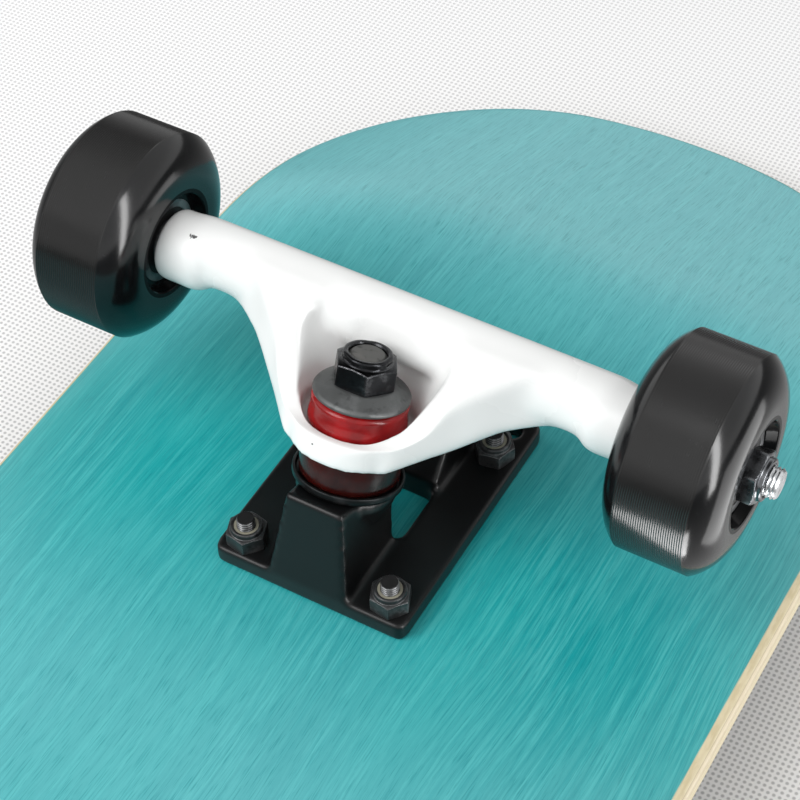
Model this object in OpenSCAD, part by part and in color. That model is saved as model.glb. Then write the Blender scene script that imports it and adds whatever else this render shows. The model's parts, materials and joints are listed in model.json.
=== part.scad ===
// A double-kick skateboard, standing on its four wheels.
// +X is the nose, +Z is up, and the origin lies on the ground under the middle of the board.
// Each truck is drawn upside down, as it is built on a bench: its own origin is the middle of
// its bolt pattern on the deck's underside, +Z leads away from the deck and +X to the end of
// the board. at_truck() then turns it over and puts it under the deck.

/* [Deck] */
// Full width of the deck, across the rails
deck_width = 206.5; // [195:0.5:225]
// Thickness of the seven plies
deck_thick = 11; // [9:0.5:13]
// Distance between the inner bolt rows
wheelbase = 362; // [340:1:400]
// From the outer bolts to the tip of the nose, seen from above
nose_length = 177; // [165:1:195]
// From the outer bolts to the tip of the tail, seen from above
tail_length = 168; // [165:1:195]
// Upward angle of the nose
nose_angle = 19; // [12:0.5:24]
// Upward angle of the tail
tail_angle = 20; // [12:0.5:24]
// From the outer bolts to the start of each bend
bend_start = 50; // [40:1:56]
// Bend radius of the underside
bend_radius = 130; // [100:5:150]
// Width of the flat strip down the middle
flat_width = 60; // [56:1:80]
// Height of the rails above the flat strip
concave_rise = 12.5; // [6:0.5:14]
// Radius of the nose's two corners, seen square to the kick
nose_corner = 76; // [65:1:80]
// Radius of the tail's two corners, seen square to the kick
tail_corner = 70; // [60:1:74]
// Bevel along the rails
rail_bevel = 2; // [0.5:0.25:3]
// Thickness of the grip tape
grip_thick = 0.8; // [0.6:0.1:1.5]
// How far the grip tape stops short of the deck's edge
grip_margin = 3; // [2.5:0.5:6]

/* [Bolts] */
// Length of the bolt pattern
pattern_length = 54; // [53:0.1:55]
// Width of the bolt pattern
pattern_width = 41.3; // [41:0.1:42]
// Length of the older bolt pattern, for which the baseplate is drilled as well
old_pattern_length = 63.5; // [62.5:0.1:64]
// Diameter of the mounting bolts
bolt_d = 4.8; // [4.5:0.1:5]
// Clearance of a bolt in its holes, on the diameter
bolt_play = 0.5; // [0.3:0.1:0.8]
// Head diameter of a mounting bolt
bolt_head_d = 9.4; // [8.5:0.1:10]
// How far a mounting bolt stands out of the baseplate
bolt_reach = 8.5; // [7.5:0.5:12]
// Width across the flats of a mounting nut
bolt_nut_af = 9.5; // [9:0.1:10]
// Height of a mounting nut
bolt_nut_h = 6; // [5:0.1:6.5]

/* [Baseplate] */
// Thickness of the plate
plate_thick = 5.6; // [4.5:0.1:7]
// Width of the plate
plate_width = 54.6; // [54:0.2:58]
// From the middle of the bolt pattern to the kingpin end of the plate
plate_front = 33; // [32:0.5:36]
// From the middle of the bolt pattern to the pivot end of the plate
plate_rear = 42; // [41.5:0.5:45]
// Corner radius of the plate
plate_corner = 2.5; // [2:0.5:6]
// Length of the window between the two bosses
window_length = 18; // [14:1:19]
// Width of that window
window_width = 26; // [20:1:28]
// Width of the kingpin boss at the deck
kingpin_boss_width = 24; // [22:0.5:26]
// Width of the pivot boss at the deck
pivot_boss_width = 29; // [27:0.5:31]
// Sideways lean of the walls of both bosses, inwards
boss_draft = 7.5; // [4:0.5:10]

/* [Steering] */
// Height of the axle above the underside of the deck
axle_height = 52; // [51:0.5:54]
// How far the axle lies from the middle of the pattern, towards the end of the board
axle_ahead = 15.4; // [14.5:0.1:17]
// Lean of the kingpin
kingpin_tilt = 20.5; // [19:0.5:22]
// Where the kingpin's axis meets the deck, behind the middle of the pattern
kingpin_foot = 20.6; // [20:0.1:21.5]
// Diameter of the kingpin
kingpin_d = 9.5; // [9:0.1:10]
// Diameter of the kingpin's head
kingpin_head_d = 16; // [15:0.2:17]
// Height of the seat of the lower washer, along the kingpin
seat_height = 27; // [26:0.2:28]
// Height of the lower bushing
lower_bushing_h = 11; // [10.5:0.1:12]
// Diameter of the lower bushing
lower_bushing_d = 25.6; // [24.6:0.2:26]
// Height of the upper bushing
upper_bushing_h = 10; // [9.5:0.1:10.5]
// Diameter of the upper bushing
upper_bushing_d = 24.8; // [23.6:0.2:25.4]
// Sheet thickness of the two washers on the kingpin
washer_thick = 1.2; // [1:0.1:1.5]
// Diameter of the lower washer
lower_washer_d = 28; // [27.4:0.2:29]
// Diameter of the upper washer
upper_washer_d = 24.2; // [22:0.2:24.4]
// Width across the flats of the kingpin nut
kingpin_nut_af = 14.3; // [13.5:0.1:15]
// Height of the kingpin nut
kingpin_nut_h = 8; // [7:0.2:8.6]

/* [Hanger] */
// Width of the hanger between the inner speed washers
hanger_width = 133; // [129:1:140]
// Thickness of the ring's web between the bushings
ring_web = 3.6; // [3:0.2:4.4]
// Outer diameter of the ring
ring_d = 33; // [32:0.5:35]
// Bore of the ring, which lets it tilt round the kingpin
ring_bore = 13.4; // [12.8:0.2:15]
// Depth of the seat that holds each bushing in the ring
ring_seat = 1.2; // [0.8:0.1:1.6]
// Radius of the bowl at the height of the axle
bowl_radius = 20; // [18:0.5:22]
// Radius of the beam
beam_radius = 8.1; // [7.6:0.1:8.6]
// How far the beam's middle lies from the axle, away from the bushings
beam_offset = 2; // [1.5:0.1:2.2]
// Radius of the neck beside each end
neck_radius = 7; // [6.6:0.1:7.4]
// Radius of the rounded ends
end_radius = 9.6; // [9:0.1:10.2]
// Height of the pivot's centre above the deck
pivot_height = 17; // [16:0.5:19]
// How far the pivot's centre lies from the middle of the pattern, towards the end of the board
pivot_ahead = 29; // [27:0.5:30]
// Diameter of the pivot
pivot_d = 12; // [11:0.2:12.6]
// Wall of the pivot cup
cup_wall = 1.9; // [1.5:0.1:2.2]

/* [Axle] */
// Full length of the axle
axle_length = 200.6; // [198:0.2:206]
// Diameter of the axle
axle_d = 8; // [7.8:0.05:8]
// Thickness of a speed washer
speed_washer_t = 0.8; // [0.6:0.1:1.2]
// Width across the flats of an axle nut
axle_nut_af = 12.7; // [12:0.1:13.5]
// Height of an axle nut
axle_nut_h = 5.4; // [4.5:0.1:6]

/* [Wheels] */
// Diameter of the wheels
wheel_d = 55; // [52:0.5:57]
// Width of the flat tread
tread_width = 18.4; // [16:0.2:20]
// Full width of a wheel
wheel_width = 29.4; // [28.6:0.2:31]
// How far below the tread the crowned sides stand out most
crown_depth = 11; // [9:0.5:12]
// Diameter of the hub's mouth
hub_mouth_d = 26.6; // [25:0.2:28]

/* [Bearings] */
// Outer diameter of a bearing
bearing_od = 22; // [21.6:0.1:22.4]
// Width of a bearing
bearing_width = 7; // [6.6:0.1:7.2]
// Length of the spacer between the two bearings of a wheel
spacer_length = 10; // [9:0.5:10.5]
// Number of balls in a bearing
ball_count = 7; // [6:1:8]
// Diameter of a ball
ball_d = 3.96; // [3.5:0.02:4]

/* [Hidden] */
ENDS = ["front", "rear"];
SIDES = ["left", "right"];
TRUCK_PIECES = [
    "baseplate", "pivot_cup", "kingpin", "kingpin_nut", "lower_washer", "lower_bushing",
    "upper_bushing", "upper_washer", "hanger", "axle", "axle_nuts", "speed_washers",
    "mounting_bolts", "mounting_nuts"
];
WHEEL_PIECES = ["wheel", "bearing_cups", "bearing_balls", "bearing_shields", "bearing_cones"];
$fn = 96;
fine = 240; // segments of the deck's large arcs
cut = 1; // overshoot of a cutting tool
soft_gap = 0.3; // room between a soft piece and what moves beside it
running_gap = 0.05; // radial room in a running fit
slip_gap = 0.01; // radial room in a sliding fit
steer_range = 12; // degrees that a hanger turns each way

// Deck
deck_floor = wheel_d / 2 + axle_height; // height of the underside's flat strip
rail_run = (deck_width - flat_width) / 2;
rail_arc = (rail_run * rail_run + concave_rise * concave_rise) / (2 * concave_rise);
rail_slope = rail_run / (rail_arc - concave_rise);
truck_spacing = wheelbase + pattern_length;
nose_reach = nose_length + pattern_length / 2;
tail_reach = tail_length + pattern_length / 2;
board_length = truck_spacing + nose_reach + tail_reach;
front_x = board_length / 2 - nose_reach;
rear_x = front_x - truck_spacing;
bend_reach = bend_start + pattern_length / 2;
deck_top = deck_thick + grip_thick;
straight = 2; // straight side of a kick before its corner starts
lap = 0.3; // how far a kick reaches into its bend
seam = 0.1; // how much thinner it is there

// Bolts
bolt_x = [-pattern_length / 2, pattern_length / 2];
old_bolt_x = old_pattern_length - pattern_length / 2;
bolt_hole_d = bolt_d + bolt_play;
bolt_rim = 0.5; // straight edge of a bolt's head

// Stack on the kingpin, measured along it from the deck's underside
kingpin_head_low = kingpin_head_d / 2 * tan(kingpin_tilt) + 0.2;
kingpin_head_high = kingpin_head_low + 5.8;
lower_bushing_z = seat_height + washer_thick;
ring_low = lower_bushing_z + lower_bushing_h;
ring_high = ring_low + ring_web;
upper_washer_z = ring_high + upper_bushing_h;
washer_dish = 0.5; // how far the upper washer's middle stands up
nut_z = upper_washer_z + washer_thick + washer_dish;
kingpin_end = nut_z + kingpin_nut_h - 0.3;

// The kingpin leans in the truck's x-z plane. A place there is also given as [u, p]: u across
// the kingpin towards the pivot end, and p along it.
function on_kingpin(u, p) = [
    -kingpin_foot + u * cos(kingpin_tilt) + p * sin(kingpin_tilt),
    -u * sin(kingpin_tilt) + p * cos(kingpin_tilt)
];
axle_u = (axle_ahead + kingpin_foot) * cos(kingpin_tilt) - axle_height * sin(kingpin_tilt);
axle_p = (axle_ahead + kingpin_foot) * sin(kingpin_tilt) + axle_height * cos(kingpin_tilt);

// The steering axis runs from the pivot's centre through the middle of the ring. A place beside
// it is given as [n, t]: n across the axis, away from the deck, and t along it into the cup.
ring_middle = on_kingpin(0, (ring_low + ring_high) / 2);
steer_slope = atan2(ring_middle[1] - pivot_height, pivot_ahead - ring_middle[0]);
function on_pivot(n, t) = [
    pivot_ahead + n * sin(steer_slope) + t * cos(steer_slope),
    pivot_height + n * cos(steer_slope) - t * sin(steer_slope)
];
cup_inner = pivot_d / 2 + soft_gap;
cup_outer = cup_inner + cup_wall;
cup_depth = 10; // from the pivot's centre to the top of the boss
cup_lip = 1.2; // flange of the cup on the boss
pivot_flare = cup_depth + cup_lip + 1.2 * cup_wall; // where the pivot starts to widen into the hanger
high_corner = on_pivot(cup_outer + 1.5 * cup_wall, -cup_depth); // upper edge of the pivot boss's mouth
crest = on_kingpin(-0.6 * lower_washer_d, seat_height); // upper edge of the kingpin boss

// Along the axle, from the middle of the truck
hanger_end = hanger_width / 2;
bearing_in = hanger_end + speed_washer_t;
hub_half = spacer_length / 2 + bearing_width; // from the wheel's middle to a bearing's face
wheel_y = bearing_in + hub_half;
outer_washer_y = wheel_y + hub_half;
axle_nut_y = outer_washer_y + speed_washer_t;

// Bearing
ball_path = (axle_d + bearing_od) / 4; // radius on which the balls run
land_gap = 1.45; // from that radius to the land of each ring

// ---------------------------------------------------------------- frames

// Turns a truck over and puts it under the deck.
module at_truck(end) {
    translate([end == "front" ? front_x : rear_x, 0, deck_floor])
        rotate([180, 0, end == "front" ? 0 : 180])
            children();
}

// The z axis is the kingpin's own axis.
module along_kingpin(height = 0) {
    translate([-kingpin_foot, 0, 0])
        rotate([0, kingpin_tilt, 0])
            translate([0, 0, height]) children();
}

// The origin is the pivot's centre and the z axis leads into the cup.
module along_pivot(depth = 0) {
    translate([pivot_ahead, 0, pivot_height])
        rotate([0, 90 + steer_slope, 0])
            translate([0, 0, depth]) children();
}

// The z axis is the axle's, and leads outwards on the given side of the board.
module along_axle(end, side, out = 0) {
    outwards = (end == "front") == (side == "left") ? -1 : 1;
    translate([axle_ahead, 0, axle_height])
        rotate([-90 * outwards, 0, 0])
            translate([0, 0, out]) children();
}

module at_bolts(x_list) {
    for (x = x_list)
        for (side = [-1, 1])
            translate([x, side * pattern_width / 2, 0]) children();
}

// The points of one half of an outline for its other half, in reverse.
function mirrored(points, way) = [
    for (i = [len(points) - 1:-1:0]) [way[0] * points[i][0], way[1] * points[i][1]]
];

// Solid across the truck with the given outline in its x-z plane.
module across(width, points) {
    rotate([90, 0, 0]) linear_extrude(width, center = true) polygon(points);
}

// ---------------------------------------------------------------- deck

// Section of one layer of the deck, between two heights above the underside: flat in the
// middle, with an arc up to each rail.
module layer_section(low, high, half_width, bevel) {
    intersection() {
        union() {
            translate([-flat_width / 2, low]) square([flat_width, high - low]);
            for (side = [0, 1])
                mirror([side, 0])
                    translate([flat_width / 2, rail_arc])
                        intersection() {
                            difference() {
                                circle(rail_arc - low, $fn = fine);
                                circle(rail_arc - high, $fn = fine);
                            }
                            translate([0, -rail_arc - cut]) square([deck_width, rail_arc]);
                        }
        }
        rail_trim(low, high, half_width, bevel);
    }
}

// Cuts the rails off upright and bevels both of their edges.
module rail_trim(low, high, half_width, bevel) {
    run = half_width - flat_width / 2;
    low_edge = rail_arc - sqrt(pow(rail_arc - low, 2) - run * run);
    high_edge = rail_arc - sqrt(pow(rail_arc - high, 2) - run * run);
    reach = flat_width / 2;
    right = [
        [half_width - reach, low_edge + bevel - reach * (1 + rail_slope)],
        [half_width, low_edge + bevel],
        [half_width, high_edge - bevel],
        [half_width - reach, high_edge - bevel + reach * (1 - rail_slope)]
    ];
    polygon(concat(right, [for (i = [3:-1:0]) [-right[i][0], right[i][1]]]));
}

// Outline of one end, with straight sides up to x = 0, where the corners start, and the tip at
// x = reach. The tip's arc runs smoothly into both corners' arcs, which settles its radius.
module end_outline(reach, half_width, corner) {
    corner_y = half_width - corner;
    tip_radius = (corner_y * corner_y + reach * reach - corner * corner) / (2 * (reach - corner));
    tip_x = reach - tip_radius;
    meet = atan2(corner_y, -tip_x);
    far = 2 * tip_radius;
    translate([-straight - cut, -half_width]) square([straight + cut, 2 * half_width]);
    for (side = [-1, 1])
        translate([0, side * corner_y]) circle(corner, $fn = fine);
    translate([tip_x, 0])
        intersection() {
            circle(tip_radius, $fn = fine);
            polygon([[0, 0], [far * cos(meet), -far * sin(meet)], [far * cos(meet), far * sin(meet)]]);
        }
}

// One bend and the kick after it, starting at x. The kick is let into the end of the bend.
module kick(x, reach, angle, corner, low, high, margin, bevel) {
    half_width = deck_width / 2 - margin;
    length = (reach - bend_radius * sin(angle)) / cos(angle) - margin;
    translate([x, 0, bend_radius]) {
        rotate([90, 0, 0])
            rotate([0, 0, -90])
                rotate_extrude(angle = angle, $fn = fine)
                    translate([bend_radius, 0])
                        rotate(90) layer_section(low, high, half_width, bevel);
        rotate([0, -angle, 0])
            translate([-lap, 0, -bend_radius])
                intersection() {
                    rotate([90, 0, 90])
                        linear_extrude(length + lap + cut)
                            layer_section(low + seam, high - seam, half_width - seam, bevel);
                    linear_extrude(high + concave_rise + cut)
                        translate([straight, 0])
                            end_outline(length + lap - straight, half_width - seam,
                                corner - margin);
                }
    }
}

// One layer of the whole deck.
module deck_layer(low, high, margin, bevel) {
    translate([rear_x - bend_reach, 0, 0])
        rotate([90, 0, 90])
            linear_extrude(truck_spacing + 2 * bend_reach)
                layer_section(low, high, deck_width / 2 - margin, bevel);
    kick(front_x + bend_reach, nose_reach - bend_reach, nose_angle, nose_corner,
        low, high, margin, bevel);
    mirror([1, 0, 0])
        kick(bend_reach - rear_x, tail_reach - bend_reach, tail_angle, tail_corner,
            low, high, margin, bevel);
}

// Head and countersink of a mounting bolt, flush with the top of the grip tape.
module bolt_head(above = 0) {
    head_r = bolt_head_d / 2;
    rise = head_r - bolt_d / 2;
    translate([0, 0, deck_top - bolt_rim - rise]) cylinder(r1 = bolt_d / 2, r2 = head_r, h = rise);
    translate([0, 0, deck_top - bolt_rim]) cylinder(r = head_r, h = bolt_rim + above);
}

module deck_holes() {
    for (x = [front_x, rear_x])
        translate([x, 0, 0])
            at_bolts(bolt_x) {
                translate([0, 0, -cut]) cylinder(d = bolt_hole_d, h = deck_top + 2 * cut);
                bolt_head(cut);
            }
}

module deck() {
    color("mediumturquoise")
        translate([0, 0, deck_floor])
            difference() {
                deck_layer(0, deck_thick, 0, rail_bevel);
                deck_holes();
            }
}

module grip_tape() {
    color("dimgray")
        translate([0, 0, deck_floor])
            difference() {
                deck_layer(deck_thick, deck_top, grip_margin, grip_thick / 4);
                deck_holes();
            }
}

// ---------------------------------------------------------------- baseplate

module rounded_rectangle(length, width, radius) {
    square([length - 2 * radius, width], center = true);
    square([length, width - 2 * radius], center = true);
    for (x = [-1, 1])
        for (y = [-1, 1])
            translate([x * (length / 2 - radius), y * (width / 2 - radius)]) circle(radius);
}

// Walls with a draft, as wide as given at the deck.
module drafted_walls(width, height) {
    base = width / 2;
    top = base - height * tan(boss_draft);
    rotate([90, 0, 90])
        linear_extrude(4 * plate_rear, center = true)
            polygon([[-base, 0], [base, 0], [top, height], [-top, height]]);
}

module kingpin_boss() {
    pad = 0.45 * lower_washer_d;
    pad_height = seat_height / 9;
    flare = seat_height / 3; // height over which the boss widens into the pad
    back = on_kingpin(0.75 * kingpin_d, seat_height);
    window = -window_length / 2;
    intersection() {
        across(plate_width, [[-plate_front, 0], [-plate_front, plate_thick], crest, back,
            [window, plate_thick], [window, 0]]);
        drafted_walls(kingpin_boss_width, crest[1]);
    }
    along_kingpin(seat_height - pad_height - flare)
        cylinder(r1 = kingpin_boss_width / 3, r2 = pad, h = flare);
    along_kingpin(seat_height - pad_height) cylinder(r = pad, h = pad_height);
}

module pivot_boss() {
    window = window_length / 2;
    brim = 1.5 * cup_wall; // wall of the boss round the cup's mouth
    intersection() {
        across(plate_width, [[window, 0], [window, 1.5 * plate_thick],
            on_pivot(-cup_outer - brim, -cup_depth), high_corner,
            high_corner + [pivot_d / 2, -pivot_d / 12], [plate_rear, 2.25 * plate_thick],
            [plate_rear, 0]]);
        drafted_walls(pivot_boss_width, high_corner[1]);
    }
}

module baseplate() {
    color("#1c1c1e")
        difference() {
            union() {
                difference() {
                    translate([(plate_rear - plate_front) / 2, 0, 0])
                        linear_extrude(plate_thick)
                            rounded_rectangle(plate_front + plate_rear, plate_width, plate_corner);
                    translate([0, 0, -cut])
                        linear_extrude(plate_thick + 2 * cut)
                            rounded_rectangle(window_length, window_width, 2.5);
                }
                kingpin_boss();
                pivot_boss();
            }
            translate([0, 0, -cut])
                at_bolts(concat(bolt_x, old_bolt_x))
                    cylinder(d = bolt_hole_d, h = plate_thick + 2 * cut);
            along_kingpin() cylinder(d = kingpin_d, h = seat_height + cut);
            along_kingpin(-kingpin_head_d)
                cylinder(d = kingpin_head_d, h = kingpin_head_d + kingpin_head_high);
            along_pivot(-cup_depth - cut) cylinder(r = cup_outer, h = cup_depth + cut + cup_outer - 1);
        }
}

module pivot_cup() {
    color("#2a2a2c")
        along_pivot()
            rotate_extrude()
                difference() {
                    union() {
                        translate([0, -cup_depth]) square([cup_outer, cup_depth + cup_outer - 1]);
                        translate([0, -cup_depth - cup_lip]) square([cup_outer + 1.4, cup_lip]);
                    }
                    circle(cup_inner);
                    translate([-cut, -cup_depth - cup_lip - cut])
                        square([cup_inner + cut, cup_depth + cup_lip + cut]);
                }
}

// ---------------------------------------------------------------- kingpin stack

// Lock nut: a hexagon with turned corners and a rolled collar, bored for its bolt.
module lock_nut(across_flats, height, bore) {
    corner_r = across_flats / 2 / cos(30);
    hex_h = height * 0.76;
    collar_r = across_flats * 0.44;
    turned = across_flats * 0.03; // what the turning takes off the corners
    difference() {
        union() {
            intersection() {
                cylinder(r = corner_r, h = hex_h, $fn = 6);
                rotate_extrude()
                    polygon([[0, 0], [corner_r - 2 * turned, 0], [corner_r, turned * 1.2],
                        [corner_r, hex_h - turned * 2], [corner_r - 3 * turned, hex_h], [0, hex_h]]);
            }
            translate([0, 0, hex_h - turned])
                cylinder(r1 = collar_r, r2 = collar_r - turned, h = height - hex_h + turned);
        }
        translate([0, 0, -cut]) cylinder(d = bore, h = height + 2 * cut);
    }
}

module kingpin() {
    shank = kingpin_d / 2;
    bevel = 0.8;
    color("#55565a")
        along_kingpin()
            rotate_extrude()
                polygon([[0, kingpin_head_low], [kingpin_head_d / 2, kingpin_head_low],
                    [kingpin_head_d / 2, kingpin_head_high], [shank, kingpin_head_high],
                    [shank, kingpin_end - bevel], [shank - bevel, kingpin_end], [0, kingpin_end]]);
}

module kingpin_nut() {
    color("#2b2c2e")
        along_kingpin(nut_z)
            rotate([0, 0, 30]) lock_nut(kingpin_nut_af, kingpin_nut_h, kingpin_d);
}

// Cup under the lower bushing.
module lower_washer() {
    outer = lower_washer_d / 2;
    bore = kingpin_d / 2 + slip_gap;
    rim = outer - lower_bushing_d / 2 - 0.1;
    color("#4a4c4c")
        along_kingpin(seat_height)
            rotate_extrude()
                polygon([[bore, 0], [outer, 0], [outer, 2 * washer_thick],
                    [outer - rim, 2 * washer_thick], [outer - rim, washer_thick], [bore, washer_thick]]);
}

// Cap on the upper bushing, dished down over its edge.
module upper_washer() {
    outer = upper_washer_d / 2;
    bore = kingpin_d / 2 + slip_gap;
    flat = kingpin_nut_af / 2 + 0.6;
    top = washer_thick + washer_dish;
    color("#5c5d60")
        along_kingpin(upper_washer_z)
            rotate_extrude()
                polygon([[bore, 0], [outer - 1.4, 0], [outer - 0.6, -0.35], [outer, -0.1],
                    [outer, 0.5], [flat, top], [bore, top]]);
}

// Urethane bushing with rounded edges, bored for the kingpin.
module bushing(diameter, height, low_edge, high_edge) {
    bore = kingpin_d / 2 + soft_gap;
    wall = diameter / 2 - bore;
    rotate_extrude() {
        translate([bore, 0]) square([wall - low_edge, low_edge]);
        translate([bore, low_edge]) square([wall, height - low_edge - high_edge]);
        translate([bore, height - high_edge]) square([wall - high_edge, high_edge]);
        translate([bore + wall - low_edge, low_edge]) circle(low_edge);
        translate([bore + wall - high_edge, height - high_edge]) circle(high_edge);
    }
}

module lower_bushing() {
    color("#8a1c20") along_kingpin(lower_bushing_z) bushing(lower_bushing_d, lower_bushing_h, 1.5, 1);
}

module upper_bushing() {
    color("#a31f24") along_kingpin(ring_high) bushing(upper_bushing_d, upper_bushing_h, 1, 2.2);
}

// ---------------------------------------------------------------- hanger

seat_low = ring_low - ring_seat;
seat_high = ring_high + ring_seat;
ring_r = ring_d / 2;
half_beam = hanger_end - 2 * end_radius; // where the web ends

// The web's lower edge, from the side of the ring out to the end of the beam. Its places are
// [u, y, p]: across the kingpin, across the truck and along the kingpin.
ring_side = [-0.65 * ring_r, 0.86 * ring_r, seat_low + ring_seat / 2];
beam_side = [axle_u - neck_radius / 2, half_beam - neck_radius / 2, axle_p - 1.04 * neck_radius];
EDGE_SHARES = [[0, 0, 0], [0.44, 0.37, 0.38], [0.75, 0.69, 0.8], [1, 1, 1]];
web_edge = [for (share = EDGE_SHARES)
    [for (i = [0:2]) ring_side[i] + share[i] * (beam_side[i] - ring_side[i])]];

// Beam along the axle: a neck that ends in two rounded knobs, and a fuller back.
module beam() {
    knob = hanger_end - end_radius; // where each knob is widest
    flare = 0.42 * end_radius; // length over which the neck widens into a knob
    tip = end_radius / 5; // length of the flat face on a knob
    translate([axle_ahead, 0, axle_height])
        rotate([90, 0, 0]) {
            cylinder(r = neck_radius, h = hanger_width - 2 * end_radius, center = true);
            for (side = [0, 1])
                mirror([0, 0, side])
                    rotate_extrude()
                        intersection() {
                            union() {
                                translate([0, knob]) circle(end_radius);
                                polygon([[0, knob - flare], [neck_radius, knob - flare],
                                    [0.97 * end_radius, knob - flare / 4], [end_radius, knob],
                                    [0, knob]]);
                            }
                            translate([0, knob - flare])
                                square([end_radius, 0.92 * end_radius + flare]);
                        }
            for (side = [0, 1])
                mirror([0, 0, side])
                    translate([0, 0, hanger_end - tip])
                        cylinder(r = 0.58 * end_radius, h = tip);
        }
    back = on_kingpin(axle_u, axle_p) + beam_offset * [cos(36), sin(36)];
    back_half = knob + flare / 8;
    translate([back[0], 0, back[1]]) {
        rotate([90, 0, 0]) cylinder(r = beam_radius, h = 2 * back_half, center = true);
        for (side = [-1, 1])
            translate([0, side * back_half, 0]) sphere(beam_radius);
    }
}

// Web from the ring out to the beam, before the bowl is sunk into it.
module web() {
    plan = concat([for (place = web_edge) [place[0], place[1]]], [[axle_u, half_beam]]);
    front = concat([[0.82 * ring_r, seat_low]], [for (place = web_edge) [place[1], place[2]]],
        [[half_beam, beam_side[2]], [half_beam, 2 * axle_p]]);
    under_axle = axle_p - 1.6 * neck_radius;
    intersection() {
        along_kingpin(seat_low)
            linear_extrude(axle_p) {
                circle(ring_r);
                polygon(concat(plan, mirrored(plan, [1, -1])));
            }
        across(hanger_width, [on_kingpin(-ring_r - cut, seat_low),
            on_kingpin(ring_r + cut / 2, seat_low),
            on_kingpin(axle_u + 0.8 * neck_radius, under_axle),
            on_kingpin(axle_u + 0.85 * neck_radius, axle_p),
            on_kingpin(axle_u - 0.85 * neck_radius, axle_p + 1.15 * neck_radius),
            on_kingpin(-ring_r - cut, seat_high - ring_seat / 2)]);
        along_kingpin()
            rotate([90, 0, 90])
                linear_extrude(4 * ring_d, center = true)
                    polygon(concat(front, mirrored(front, [-1, 1])));
    }
}

// Bowl round the upper bushing, with the bushing's seat at its bottom.
module bowl() {
    seat = upper_bushing_d / 2 + soft_gap;
    top = 1.2 * axle_p;
    along_kingpin()
        rotate_extrude()
            polygon([[0, ring_high], [seat, ring_high], [seat, seat_high],
                [bowl_radius, axle_p], [1.03 * bowl_radius, top], [0, top]]);
}

// Room for a round piece on the kingpin, wide enough for the hanger's swing.
module swing_room(radius, low, high) {
    swing = (high - (ring_low + ring_high) / 2) * sin(steer_range);
    along_kingpin(low)
        linear_extrude(high - low)
            polygon([for (side = [1, -1])
                for (a = [0:5:180]) side * [radius * cos(a), swing + radius * sin(a)]]);
}

// Fin that carries the pivot, and the pivot with its round tip.
module pivot_fin() {
    half = pivot_d / 2;
    flare = 0.83 * pivot_d; // length over which the pivot widens into the fin
    under_axle = axle_p - 0.85 * neck_radius;
    across(pivot_d * 1.1, [on_pivot(-half, -pivot_flare), on_pivot(half, -pivot_flare),
        on_kingpin(axle_u + 0.8 * neck_radius, under_axle), on_kingpin(axle_u, under_axle),
        on_kingpin(0.88 * ring_r, seat_high + 0.8 * ring_web),
        on_kingpin(0.82 * ring_r, seat_low + ring_seat / 4)]);
    along_pivot() {
        sphere(half);
        translate([0, 0, -pivot_flare]) cylinder(r = half, h = pivot_flare);
        translate([0, 0, -pivot_flare - flare]) cylinder(r1 = 1.5 * half, r2 = half, h = flare);
    }
}

module hanger() {
    soft_room = upper_bushing_d / 2 + 1.5 * soft_gap;
    soft_middle = (ring_high + upper_washer_z) / 2;
    nut_room = 0.66 * kingpin_nut_af;
    nut_top = 1.07 * axle_p;
    open_top = 1.23 * axle_p;
    color("white")
        difference() {
            union() {
                difference() {
                    web();
                    bowl();
                }
                beam();
                pivot_fin();
            }
            swing_room(soft_room, ring_high, soft_middle);
            swing_room(soft_room, soft_middle, nut_z + cut / 2);
            swing_room(nut_room, nut_z, nut_top);
            swing_room(nut_room, nut_top, open_top);
            along_kingpin(seat_low - cut) cylinder(d = lower_bushing_d + 2 * soft_gap, h = ring_seat + cut);
            along_kingpin(ring_low - cut) cylinder(d = ring_bore, h = ring_web + 2 * cut);
            translate([axle_ahead, 0, axle_height])
                rotate([90, 0, 0]) cylinder(d = axle_d, h = hanger_width + 2 * cut, center = true);
        }
}

// ---------------------------------------------------------------- axle

module axle() {
    shank = axle_d / 2;
    half = axle_length / 2;
    bevel = 0.7;
    color("silver")
        translate([axle_ahead, 0, axle_height])
            rotate([90, 0, 0])
                rotate_extrude()
                    polygon([[0, -half], [shank - bevel, -half], [shank, bevel - half],
                        [shank, half - bevel], [shank - bevel, half], [0, half]]);
}

module axle_nuts() {
    color("#8d8f92")
        for (side = SIDES)
            along_axle("front", side, axle_nut_y) lock_nut(axle_nut_af, axle_nut_h, axle_d);
}

module speed_washers() {
    color("gray")
        for (side = SIDES)
            for (y = [hanger_end, outer_washer_y])
                along_axle("front", side, y)
                    difference() {
                        cylinder(d = 1.5 * axle_d, h = speed_washer_t);
                        translate([0, 0, -cut])
                            cylinder(d = axle_d + 2 * slip_gap, h = speed_washer_t + 2 * cut);
                    }
}

// ---------------------------------------------------------------- mounting hardware

module mounting_bolts() {
    color("#3a3b3d")
        at_bolts(bolt_x)
            difference() {
                union() {
                    mirror([0, 0, 1]) bolt_head();
                    translate([0, 0, -deck_top + bolt_rim])
                        cylinder(d = bolt_d, h = deck_top - bolt_rim + plate_thick + bolt_reach);
                }
                translate([0, 0, -deck_top - cut])
                    cylinder(d = bolt_d * 0.75, h = bolt_d * 0.55 + cut, $fn = 6);
            }
}

module mounting_nuts() {
    color("#47484a")
        translate([0, 0, plate_thick])
            at_bolts(bolt_x) lock_nut(bolt_nut_af, bolt_nut_h, bolt_d);
}

// ---------------------------------------------------------------- wheels

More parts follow.
